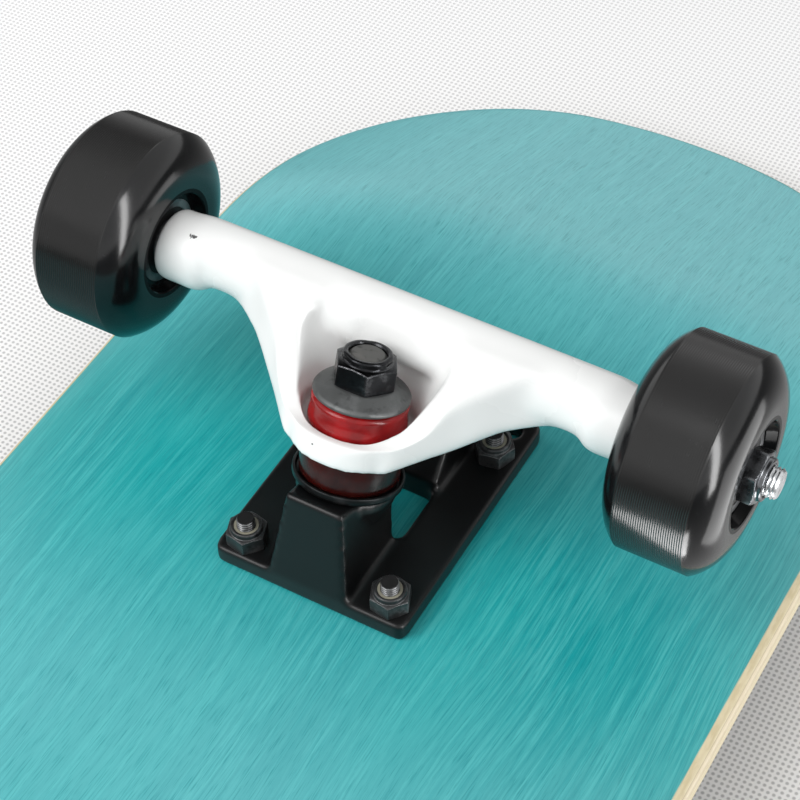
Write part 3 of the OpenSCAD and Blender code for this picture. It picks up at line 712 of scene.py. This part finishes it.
def cloth_material(name):
    """Pale perforated cloth, seen from one side only."""
    made, n = material(name, "#E9EAEC")
    place_on = n.objects()
    weave = n.add(
        "ShaderNodeTexVoronoi",
        {"Vector": place_on, "Scale": 620.0, "Randomness": 0.0},
        voronoi_dimensions="2D",
    ).outputs["Distance"]
    dots = n.span(weave, 0.1, 0.45)
    far = n.vector("DISTANCE", place_on, (0.0, 0.0, 0.0))
    dots = n.math("MAXIMUM", dots, n.span(far, 0.15, 0.75, 0.0, 0.75))
    colour = n.mix(dots, "#BABABB", "#F6F6F6")
    cloth = n.principled({"Base Color": colour, "Roughness": 0.9, "Specular IOR Level": 0.1})
    clear = n.add("ShaderNodeBsdfTransparent").outputs[0]
    back = n.add("ShaderNodeNewGeometry").outputs["Backfacing"]
    n.finish(n.add("ShaderNodeMixShader", {0: back, 1: cloth, 2: clear}).outputs[0])
    return made


# ---------------------------------------------------------------- settings


def colour_property(name, description, default):
    return bpy.props.StringProperty(name=name, description=description, default=default)


def length_property(name, description, default, low, high):
    return bpy.props.FloatProperty(
        name=name, description=description, default=default, min=low, max=high, unit="LENGTH"
    )


def count_property(name, description, default, high):
    return bpy.props.IntProperty(
        name=name, description=description, default=default, min=0, max=high
    )


class SkateboardColours(bpy.types.PropertyGroup):
    """Colours, as sRGB hex codes."""

    stain: colour_property("Stain", "Stain on the underside of the deck", "#43B0B1")
    maple: colour_property("Maple", "Bare maple along the deck's edge", "#E4D6B0")
    grip: colour_property("Grip", "Grip tape on the riding face", "#222224")
    hanger: colour_property("Hanger", "Coat of the hangers", "#EFF0EF")
    baseplate: colour_property("Baseplate", "Coat of the baseplates", "#070809")
    bushing: colour_property("Bushing", "Urethane of the bushings", "#9C1417")
    wheel: colour_property("Wheel", "Urethane of the wheels", "#0C0D0E")


class SkateboardSizes(bpy.types.PropertyGroup):
    """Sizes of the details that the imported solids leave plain."""

    voxel: length_property(
        "Casting voxel", "Size of the cells of the castings' meshes", 0.0007, 0.0004, 0.003
    )
    edge_smoothing: count_property(
        "Edge smoothing", "Passes of smoothing that round every casting's edges", 10, 60
    )
    smoothing: count_property(
        "Hanger smoothing", "Further passes that blend the hangers' forms", 60, 200
    )
    rib_pitch: length_property(
        "Rib pitch", "Distance between the turned ribs of a tread", 0.00056, 0.0003, 0.002
    )
    rib_depth: length_property(
        "Rib depth", "Depth of the turned ribs of a tread", 0.00013, 0.00005, 0.0005
    )
    edge_round: length_property(
        "Deck rounding", "Radius of the deck's rounded edge below", 0.0035, 0.001, 0.005
    )


def colours():
    return bpy.context.scene.skateboard_colours


def sizes():
    return bpy.context.scene.skateboard_sizes


def dress(node, made):
    """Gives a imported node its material."""
    for slot in NODES[node].material_slots:
        slot.material = made


# ---------------------------------------------------------------- operators


class SKATEBOARD_OT_deck(bpy.types.Operator):
    """Model the deck with its rounded edge, and the grip tape on it"""

    bl_idname = "skateboard.deck"
    bl_label = "Deck and grip tape"

    def execute(self, context):
        below = sizes().edge_round / MM
        above = 3.0
        steps = 6
        quarter = [math.pi / 2 * k / steps for k in range(steps + 1)]
        rings = [(below - below * math.sin(t), below - below * math.cos(t)) for t in quarter]
        rings += [(0.0, DECK_THICK * share) for share in (0.45, 0.6)]
        start = DECK_THICK - above
        rings += [(above - above * math.cos(t), start + above * math.sin(t)) for t in quarter]
        slab("deck_board", rings, wood_material("stained_maple", colours()), "deck")
        top = DECK_THICK + GRIP_THICK
        bevel = 0.2
        rings = [(GRIP_MARGIN, DECK_THICK + 0.02), (GRIP_MARGIN, top - bevel)]
        rings.append((GRIP_MARGIN + bevel, top))
        slab("grip_sheet", rings, grip_material("grip", colours()), "grip_tape")
        return {"FINISHED"}


class SKATEBOARD_OT_castings(bpy.types.Operator):
    """Model the hangers and baseplates as smooth castings and dress the pivot cups"""

    bl_idname = "skateboard.castings"
    bl_label = "Hangers and baseplates"

    def execute(self, context):
        chips = [(place("front") @ Vector(spot), reach) for spot, reach in CHIPS]
        white = paint_material("gloss_white", colours().hanger, 0.22, "#5A5A5A", chips)
        black = paint_material("gloss_black", colours().baseplate, 0.3, "#2E2F31")
        cup = paint_material("pivot_cup_urethane", "#1D1E20", 0.5, "#1D1E20")
        for end in ENDS:
            tips = [self.hanger_tip(end, side) for side in SIDES]
            form = self.hanger_form(end)
            mesh = self.casting(f"{end}_hanger", context, sizes().smoothing, form, tips)
            self.place_casting(mesh, end, "hanger", white, f"{end}_truck")
            mesh = self.casting(f"{end}_baseplate", context, 0)
            self.place_casting(mesh, end, "baseplate", black, "board")
            dress(f"{end}_pivot_cup", cup)
        return {"FINISHED"}

    def place_casting(self, mesh, end, part, made, body):
        mesh.materials.clear()
        mesh.materials.append(made)
        mesh.polygons.foreach_set("use_smooth", [True] * len(mesh.polygons))
        show(f"{end}_{part}_casting", mesh, body, f"{end}_{part}")

    def hanger_tip(self, end, side):
        """The straight tip of a hanger's arm, up against the speed washer."""
        profile = [(0, TIP_LOW), (TIP_RADIUS - 2, TIP_LOW), (TIP_RADIUS, TIP_LOW + 2)]
        profile += [(TIP_RADIUS, TIP_HIGH - TIP_BEVEL), (TIP_RADIUS - TIP_BEVEL, TIP_HIGH)]
        verts, faces = revolve(profile + [(0, TIP_HIGH)])
        to_part = axle_place(end, side)
        return [to_part @ Vector(v) for v in verts], faces

    def hanger_form(self, end):
        """A function that trims the ring's rim and gives each point's share of the smoothing."""
        from_pin = np.array(kingpin_place(end))
        to_pin = np.array(kingpin_place(end).inverted())
        to_truck = np.array(place(end).inverted())

        def ramp(values, start, length):
            return np.clip((values - start) / length, 0.0, 1.0)

        def form(points):
            points = np.hstack((points, np.ones((len(points), 1))))
            pin = points @ to_pin.T
            out = np.abs((points @ to_truck.T)[:, 1])
            away = np.hypot(pin[:, 0], pin[:, 1])
            rim = RIM_FRONT + RIM_CURVE * np.maximum(0.0, pin[:, 0] - RIM_START) ** 2
            pin[:, 2] = np.where(away < RIM_REACH, np.minimum(pin[:, 2], rim), pin[:, 2])
            above_ring = ramp(pin[:, 2], 40.0, 3.0) * ramp(away, 13.5, 3.0)
            outside_ring = ramp(away, 16.0, 6.0)
            before_tips = ramp(63.0 - out, 0.0, 4.0)
            share = np.maximum(above_ring, outside_ring) * before_tips
            return (pin @ from_pin.T)[:, :3], np.maximum(LEAST_SMOOTHING, share)

        return form

    def casting(self, node, context, passes, form=None, extra=()):
        """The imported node's shape, joined with the extra parts, with blended corners."""
        points = [v.co for v in NODES[node].data.vertices]
        faces = [tuple(p.vertices) for p in NODES[node].data.polygons]
        for verts, polys in extra:
            faces += [tuple(i + len(points) for i in p) for p in polys]
            points += verts
        joined = bpy.data.meshes.new("cells")
        joined.from_pydata(points, [], faces)
        cells = bpy.data.objects.new("cells", joined)
        context.scene.collection.objects.link(cells)
        remesh = cells.modifiers.new("cells", "REMESH")
        remesh.mode = "VOXEL"
        remesh.voxel_size = sizes().voxel
        self.smooth(cells, sizes().edge_smoothing)
        first = self.evaluated(cells, context)
        smoothed = bpy.data.objects.new("smoothed", first)
        context.scene.collection.objects.link(smoothed)
        group = ""
        if form:
            points = np.empty(len(first.vertices) * 3)
            first.vertices.foreach_get("co", points)
            points, share = form(points.reshape(-1, 3))
            first.vertices.foreach_set("co", points.ravel())
            levels = np.rint(share * 10).astype(int)
            group = "blend"
            weights = smoothed.vertex_groups.new(name=group)
            for level in range(1, 11):
                weights.add(np.flatnonzero(levels == level).tolist(), level / 10, "REPLACE")
        self.smooth(smoothed, passes, group)
        return self.evaluated(smoothed, context)

    def smooth(self, piece, passes, group=""):
        modifier = piece.modifiers.new("smooth", "SMOOTH")
        modifier.factor = 0.5
        modifier.iterations = passes
        modifier.vertex_group = group

    def evaluated(self, piece, context):
        graph = context.evaluated_depsgraph_get()
        mesh = bpy.data.meshes.new_from_object(piece.evaluated_get(graph))
        bpy.data.objects.remove(piece)
        return mesh


class SKATEBOARD_OT_kingpins(bpy.types.Operator):
    """Model the stack on each kingpin: bushings, washers, nut and the pin itself"""

    bl_idname = "skateboard.kingpins"
    bl_label = "Kingpins"

    def execute(self, context):
        red = urethane_material("red_urethane", colours().bushing)
        # The lower bushing gets a darkened copy of the red urethane: painted shade for the shade it
        # sits in between the baseplate and the hanger.
        painted_shade_red = urethane_material("red_urethane_painted_shade", "#3A100D")
        cup = metal_material("blackened_washer", "#1C1E1F", 0.3, "#4A4C4E", 0.35, metallic=0.8)
        cap = metal_material("worn_washer", "#5C5E5E", 0.42, "#7C7E7F", 0.3, 0.0003, 0.6, "#3E3F3F")
        nut = metal_material("black_chrome", "#2E2F31", 0.16, "#77787A", 0.3, 0.0005)
        pin = metal_material("dark_pin", "#5A5A58", 0.55, "#787672", 0.3, metallic=0.3)
        for end in ENDS:
            self.bushings(end, red, painted_shade_red)
            self.washers(end, cap, cup)
            at_nut = kingpin_place(end, NUT_FOOT) @ Matrix.Rotation(math.radians(30), 4, "Z")
            form = (*lock_nut(14.3, 8.0, 4.75, 6.1, 3), at_nut, 0)
            node = f"{end}_kingpin_nut"
            build(f"{node}_turned", [form], [nut], "board", node)
            dress(f"{end}_kingpin", pin)
        return {"FINISHED"}

    def turned(self, end, part, ending, slot, profile, made, segments=96):
        """One turned piece round the kingpin."""
        form = (*revolve(profile, segments), kingpin_place(end), 0)
        build(f"{end}_{part}_{ending}", [form], [made], "board", f"{end}_{part}")

    def bushings(self, end, red, painted_shade_red):
        bore = BUSHING_BORE
        low, high, r = LOWER_BUSHING
        outline = [(bore, low), (r - 0.4, low), (r, (low + high) / 2), (r - 0.4, high)]
        barrel = rounded(outline + [(bore, high), (bore, low)], 1.6, 6)
        # The lower bushing wears the darkened copy of the urethane, which is painted shade.
        self.turned(end, "lower_bushing", "moulded", "bushing", barrel, painted_shade_red)
        low, high, r = UPPER_BUSHING
        outline = [(bore, low), (r - 0.3, low), (r, low + 1.6), (r - 0.5, low + 4.2)]
        outline += [(r - 0.5, low + 5.6), (r - 0.3, high - 3.0), (r - 1.9, high - 1.7)]
        barrel = rounded(outline + [(r - 3.4, high), (bore, high), (bore, low)], 1.0, 5)
        self.turned(end, "upper_bushing", "moulded", "bushing", barrel, red)

    def washers(self, end, cap, cup):
        bore, low = KINGPIN_BORE, SEAT
        cupped = [(bore, low), (13.3, low), (14.0, low + 0.7), (14.0, low + 2.4)]
        cupped += [(13.1, low + 2.4), (13.1, low + 1.2), (bore, low + 1.2), (bore, low)]
        profile = rounded(cupped, 0.45)
        self.turned(end, "lower_washer", "cupped", "washer", profile, cup, 128)
        low = UPPER_BUSHING[1]
        dished = [(bore, low), (9.2, low), (11.3, low - 1.3), (12.0, low - 1.9)]
        dished += [(12.1, low - 1.2), (11.6, low - 0.5), (8.0, low + 1.6), (7.6, low + 1.7)]
        profile = rounded(dished + [(bore, low + 1.7), (bore, low)], 0.35)
        self.turned(end, "upper_washer", "dished", "washer", profile, cap, 128)


class SKATEBOARD_OT_hardware(bpy.types.Operator):
    """Model the mounting bolts, their nuts, the axle with its threads and the axle nuts"""

    bl_idname = "skateboard.hardware"
    bl_label = "Bolts, axles and nuts"

    def execute(self, context):
        dark = metal_material("blackened_steel", "#3A3B3C", 0.34, "#7C7D7E", 0.4, 0.0003, 0.7)
        groove = metal_material("stud_groove_painted_shade", "#161617", 0.55, "#2A2B2C", 0.3, metallic=0.5)
        # The stud's grooves get a darkened copy of the steel, which is painted shade, and its
        # crests a brightened copy, which is a painted highlight.
        crest = metal_material("stud_crest_painted_highlight", "#6C6D6E", 0.35, "#A4A5A6", 0.5)
        nylon = paint_material("nylon", "#8E8B7C", 0.45, "#7C7A6C")
        bright = metal_material("axle_steel", "#C9CBCD", 0.22, "#E6E7E8", 0.4)
        chrome = metal_material("dark_chrome", "#6C6E71", 0.2, "#A6A8AB", 0.4)
        washer = metal_material("washer_steel", "#8E9092", 0.3, "#C4C6C8", 0.4, 0.0002)
        for end in ENDS:
            self.mounting(end, [dark, groove, crest], [dark, nylon])
            self.axle(end, bright, chrome)
            dress(f"{end}_speed_washers", washer)
        return {"FINISHED"}

    def mounting(self, end, bolt_materials, nut_materials):
        """The bolts through the deck and their lock nuts on the baseplate."""
        bolts, nuts = [], []
        insert = [(2.42, 5.2), (3.3, 5.2), (3.3, 5.62), (2.9, 5.68), (2.42, 5.6), (2.42, 5.2)]
        for x, y in BOLTS:
            at = place(end) @ Matrix.Translation((x, y, 0.0))
            stud = thread(BOLT_RADIUS, 0.45, 0.8, 0.0, BOLT_TIP, 0.4)
            bolts += [(*self.bolt_head(), at, 0), self.threaded(stud, at)]
            twist = Matrix.Rotation((x * 7 + y * 13) % 60 * math.pi / 180, 4, "Z")
            at_nut = at @ Matrix.Translation((0, 0, PLATE_THICK))
            nuts.append((*lock_nut(9.5, 6.0, BOLT_RADIUS, 4.15), at_nut @ twist, 0))
            nuts.append((*revolve(insert, 48), at_nut, 1))
        for part, forms, made in (("bolt", bolts, bolt_materials), ("nut", nuts, nut_materials)):
            name = f"{end}_mounting_{part}"
            build(f"{name}_set", forms, made, "board", f"{name}s")

    def axle(self, end, steel, chrome):
        """The axle with its threaded ends, and the nut on each of them."""
        body = f"{end}_truck"
        axle, nuts = [], []
        for side in SIDES:
            at = axle_place(end, side)
            stud = thread(AXLE_RADIUS, 0.5, 1.0, AXLE_THREAD, AXLE_TIP, 0.7, 64)
            axle.append((*stud[:2], at, 0))
            axle.append((*revolve([(AXLE_RADIUS, 0.0), (AXLE_RADIUS, AXLE_THREAD)], 64), at, 0))
            twist = Matrix.Rotation(0.35 if side == "left" else 0.7, 4, "Z")
            at_nut = axle_place(end, side, AXLE_NUT) @ twist
            nuts.append((*lock_nut(12.7, 5.4, AXLE_RADIUS, 5.4), at_nut, 0))
        build(f"{end}_axle_threaded", axle, [steel], body, f"{end}_axle")
        build(f"{end}_axle_nut_set", nuts, [chrome], body, f"{end}_axle_nuts")

    def threaded(self, stud, at):
        """A stud with the second material, painted shade, in its grooves and the third, a painted
        highlight, on its crests.
        """
        verts, faces, kinds = stud
        return verts, faces, at, [kind + 1 for kind in kinds]

    def bolt_head(self):
        """The countersunk head with its hex socket, flush with the grip tape."""
        top = -(DECK_THICK + GRIP_THICK)
        cone = [(BOLT_RADIUS, 0.0), (BOLT_RADIUS, top + 2.8), (4.7, top + 0.5)]
        rows = [ring_row(r, z) for r, z in cone + [(4.7, top + 0.1), (4.6, top)]]
        uncut = 9.0  # wider than the socket, so that its corners stay whole
        rows += turned_hex(3.2, [(top, uncut), (top + 2.4, uncut)])
        rows.append([(0.0, 0.0, top + 2.9)])
        verts, faces = skin(rows)
        return verts, [f[::-1] for f in faces]


class SKATEBOARD_OT_wheels(bpy.types.Operator):
    """Model the wheels with their ribbed treads and finish the bearings"""

    bl_idname = "skateboard.wheels"
    bl_label = "Wheels and bearings"

    def execute(self, context):
        black = wheel_material("black_urethane", colours())
        ring = metal_material("bearing_steel", "#5C5D5F", 0.35, "#A0A2A4", 0.3, 0.0002)
        shield = metal_material("bearing_shield", "#0B0B0C", 0.5, "#232425", 0.3, 0.0002, 0.3)
        ball = metal_material("ball_steel", "#B8BABC", 0.1, "#D8DADC", 0.2)
        bearing = {"cups": ring, "cones": ring, "balls": ball, "shields": shield}
        profile = self.profile()
        for end in ENDS:
            for side in SIDES:
                name = f"{end}_{side}"
                node, body = f"{name}_wheel", f"{name}_roller"
                form = (*revolve(profile, 160), axle_place(end, side, WHEEL_Y), 0)
                piece = build(f"{node}_turned", [form], [black], body, node, 30.0)
                self.mark_tread(piece.data, end, side)
                for part, made in bearing.items():
                    dress(f"{name}_bearing_{part}", made)
        return {"FINISHED"}

    def mark_tread(self, mesh, end, side):
        """Stores 1 on the tread's ribs, 0.5 between them and -1 in the hub, for the material."""
        back = axle_place(end, side, WHEEL_Y).inverted()
        depth = sizes().rib_depth / MM
        values = []
        for vertex in mesh.vertices:
            p = back @ vertex.co
            far = math.hypot(p.x, p.y)
            rib = 1.0 + (far - WHEEL_RADIUS) / depth * 0.5
            tread = WHEEL_RADIUS - 0.05 - depth
            values.append(rib if far > tread else -1.0 if far < HUB_MOUTH + 0.4 else 0.0)
        store = mesh.attributes.new("tread", "FLOAT", "POINT")
        store.data.foreach_set("value", values)

    def profile(self):
        """The wheel's section as (radius, height) from the inner face outwards."""
        pitch, depth = sizes().rib_pitch / MM, sizes().rib_depth / MM
        face, crown, hub, mouth = 16.5, WHEEL_RADIUS - 16.5, HUB_RADIUS, HUB_MOUTH
        stand_out = WHEEL_HALF - TREAD_HALF
        arc = (crown**2 + stand_out**2) / (2 * stand_out)
        half = []
        for k in range(25):
            w = math.asin(min(1.0, crown / arc)) * (1 - k / 24)
            half.append((face + arc * math.sin(w), WHEEL_HALF - arc + arc * math.cos(w)))
        half += [(15.0, WHEEL_HALF), (mouth + 0.3, WHEEL_HALF - 0.05), (mouth, WHEEL_HALF - 0.3)]
        half += [(mouth - 0.2, WHEEL_HALF - 0.9), (hub + 1.2, 12.0), (hub, 12.0)]
        half += [(hub, 5.0), (hub - 1.5, 5.0)]
        ribs = []
        count = int(2 * TREAD_HALF / pitch)
        for k in range(count):
            z = -TREAD_HALF + 2 * TREAD_HALF * (k + 0.5) / count
            ribs += [(WHEEL_RADIUS, z - pitch / 2), (WHEEL_RADIUS - depth, z)]
        inner_half = [(r, -z) for r, z in reversed(half)]
        return inner_half + ribs + half + [inner_half[0]]


class SKATEBOARD_OT_stage(bpy.types.Operator):
    """Set the camera, the lights, the floor and the cloth that the board lies on"""

    bl_idname = "skateboard.stage"
    bl_label = "Stage"

    def execute(self, context):
        self.camera(context)
        self.plane("floor", 0.0)
        self.plane("cloth", CAD_BOX[1].z, down=True)
        self.lights()
        self.world(context)
        context.scene.view_settings.view_transform = "Standard"
        return {"FINISHED"}

    def camera(self, context):
        """The camera, set in the front truck's own frame, looks at the truck from below."""
        azimuth, elevation, roll = (math.radians(a) for a in (211.0512, 48.6107, -1.9323))
        distance, target = 470.901, Vector((-38.7397, -32.3218, 98.6756))
        flat = Vector((math.cos(azimuth), math.sin(azimuth), 0.0))
        back = flat * math.cos(elevation) + Vector((0, 0, math.sin(elevation)))
        right = Vector((0, 0, 1)).cross(back).normalized()
        up = back.cross(right)
        turned_right = right * math.cos(roll) + up * math.sin(roll)
        turned_up = up * math.cos(roll) - right * math.sin(roll)
        axes = Matrix((turned_right, turned_up, back)).transposed().to_4x4()
        axes.translation = target + back * distance
        data = bpy.data.cameras.new("camera")
        data.lens = 101.356
        data.sensor_width = 36.0
        data.clip_start, data.clip_end = 0.01, 200.0
        camera = bpy.data.objects.new("camera", data)
        context.scene.collection.objects.link(camera)
        location, rotation, _ = (place("front") @ axes).decompose()
        camera.location, camera.rotation_mode = location, "QUATERNION"
        camera.rotation_quaternion = rotation
        context.scene.camera = camera

    def plane(self, name, height, down=False):
        """A wide sheet of cloth, seen from above, or from below only where it faces down."""
        reach = 20.0
        corners = [(x, y, height) for x, y in ((-1, -1), (1, -1), (1, 1), (-1, 1))]
        corners = [(x * reach, y * reach, z) for x, y, z in corners]
        mesh = bpy.data.meshes.new(name)
        mesh.from_pydata(corners, [], [(3, 2, 1, 0) if down else (0, 1, 2, 3)])
        mesh.materials.append(cloth_material(name))
        sheet = bpy.data.objects.new(name, mesh)
        bpy.context.scene.collection.objects.link(sheet)
        sheet.visible_shadow = False
        sheet.visible_diffuse = False
        sheet.visible_glossy = False
        sheet.visible_transmission = False

    def lights(self):
        """A window and a strip that light the underside, and two soft boxes above the board."""
        self.area("window", (-0.688, -0.696, -1.052), (0.9, 1.16), 17.0)
        strip = self.area("strip", (0.005, 1.124, -0.292), (0.22, 1.3), 12.0)
        strip.visible_diffuse = False
        self.area("key_above", (-0.9, 0.9, 1.6), (1.0, 1.0), 36.0)
        self.area("fill_above", (0.9, 1.5, 1.1), (1.4, 1.4), 12.0)

    def area(self, name, at, size, power):
        data = bpy.data.lights.new(name, "AREA")
        data.shape = "RECTANGLE"
        data.size, data.size_y = size
        data.energy = power
        light = bpy.data.objects.new(name, data)
        light.location = at
        front_truck = Vector((0.2, 0.0, 0.08))
        aim = front_truck - Vector(at)
        light.rotation_mode = "QUATERNION"
        light.rotation_quaternion = aim.to_track_quat("-Z", "Y")
        bpy.context.scene.collection.objects.link(light)
        return light

    def world(self, context):
        """A pale room: dim above the horizon, and below it bright round a dark patch.

        The treads reflect the dark patch. Where the camera sees the room itself it is even.
        """
        world = bpy.data.worlds.new("room")
        world.use_nodes = True
        n = Nodes(world.node_tree)
        back = n.add("ShaderNodeNewGeometry").outputs["Incoming"]
        up = n.math("MULTIPLY", n.add("ShaderNodeSeparateXYZ", {0: back}).outputs["Z"], -1.0)
        over = n.span(up, 0.1, 0.95, 0.16, 0.6)
        under = n.span(up, -0.35, -0.1, 1.0, 1.2)
        patch = (-0.493, 0.345, 0.799)
        dark = n.span(n.vector("DOT_PRODUCT", back, patch), 0.7, 0.93, 1.0, 0.06)
        under = n.math("MULTIPLY", under, dark)
        strength = n.math("MULTIPLY", over, n.math("GREATER_THAN", up, 0.0))
        below = n.math("MULTIPLY", under, n.math("LESS_THAN", up, 0.0))
        strength = n.math("ADD", strength, below)
        seen = n.add("ShaderNodeLightPath").outputs["Is Camera Ray"]
        strength = n.math("MULTIPLY", strength, n.math("SUBTRACT", 1.0, seen))
        strength = n.math("ADD", strength, n.math("MULTIPLY", seen, 0.92))
        pale = (0.98, 0.98, 0.98, 1.0)
        sky = n.add("ShaderNodeBackground", {"Color": pale, "Strength": strength})
        n.add("ShaderNodeOutputWorld", {"Surface": sky.outputs[0]})
        context.scene.world = world


class SKATEBOARD_PT_panel(bpy.types.Panel):
    """Lists the steps that dress the skateboard"""

    bl_label = "Skateboard"
    bl_idname = "SKATEBOARD_PT_panel"
    bl_space_type = "VIEW_3D"
    bl_region_type = "UI"
    bl_category = "Skateboard"

    def draw(self, context):
        for kind in OPERATORS:
            self.layout.operator(kind.bl_idname)
        for group in (context.scene.skateboard_colours, context.scene.skateboard_sizes):
            for name in group.__annotations__:
                self.layout.prop(group, name)


OPERATORS = (
    SKATEBOARD_OT_deck,
    SKATEBOARD_OT_castings,
    SKATEBOARD_OT_kingpins,
    SKATEBOARD_OT_hardware,
    SKATEBOARD_OT_wheels,
    SKATEBOARD_OT_stage,
)
CLASSES = (SkateboardColours, SkateboardSizes, *OPERATORS, SKATEBOARD_PT_panel)


def register():
    for kind in CLASSES:
        bpy.utils.register_class(kind)
    bpy.types.Scene.skateboard_colours = bpy.props.PointerProperty(type=SkateboardColours)
    bpy.types.Scene.skateboard_sizes = bpy.props.PointerProperty(type=SkateboardSizes)


def unregister():
    del bpy.types.Scene.skateboard_colours
    del bpy.types.Scene.skateboard_sizes
    for kind in reversed(CLASSES):
        bpy.utils.unregister_class(kind)


def main():
    register()
    bpy.ops.skateboard.deck()
    bpy.ops.skateboard.castings()
    bpy.ops.skateboard.kingpins()
    bpy.ops.skateboard.hardware()
    bpy.ops.skateboard.wheels()
    bpy.ops.skateboard.stage()


if __name__ == "__main__":
    main()
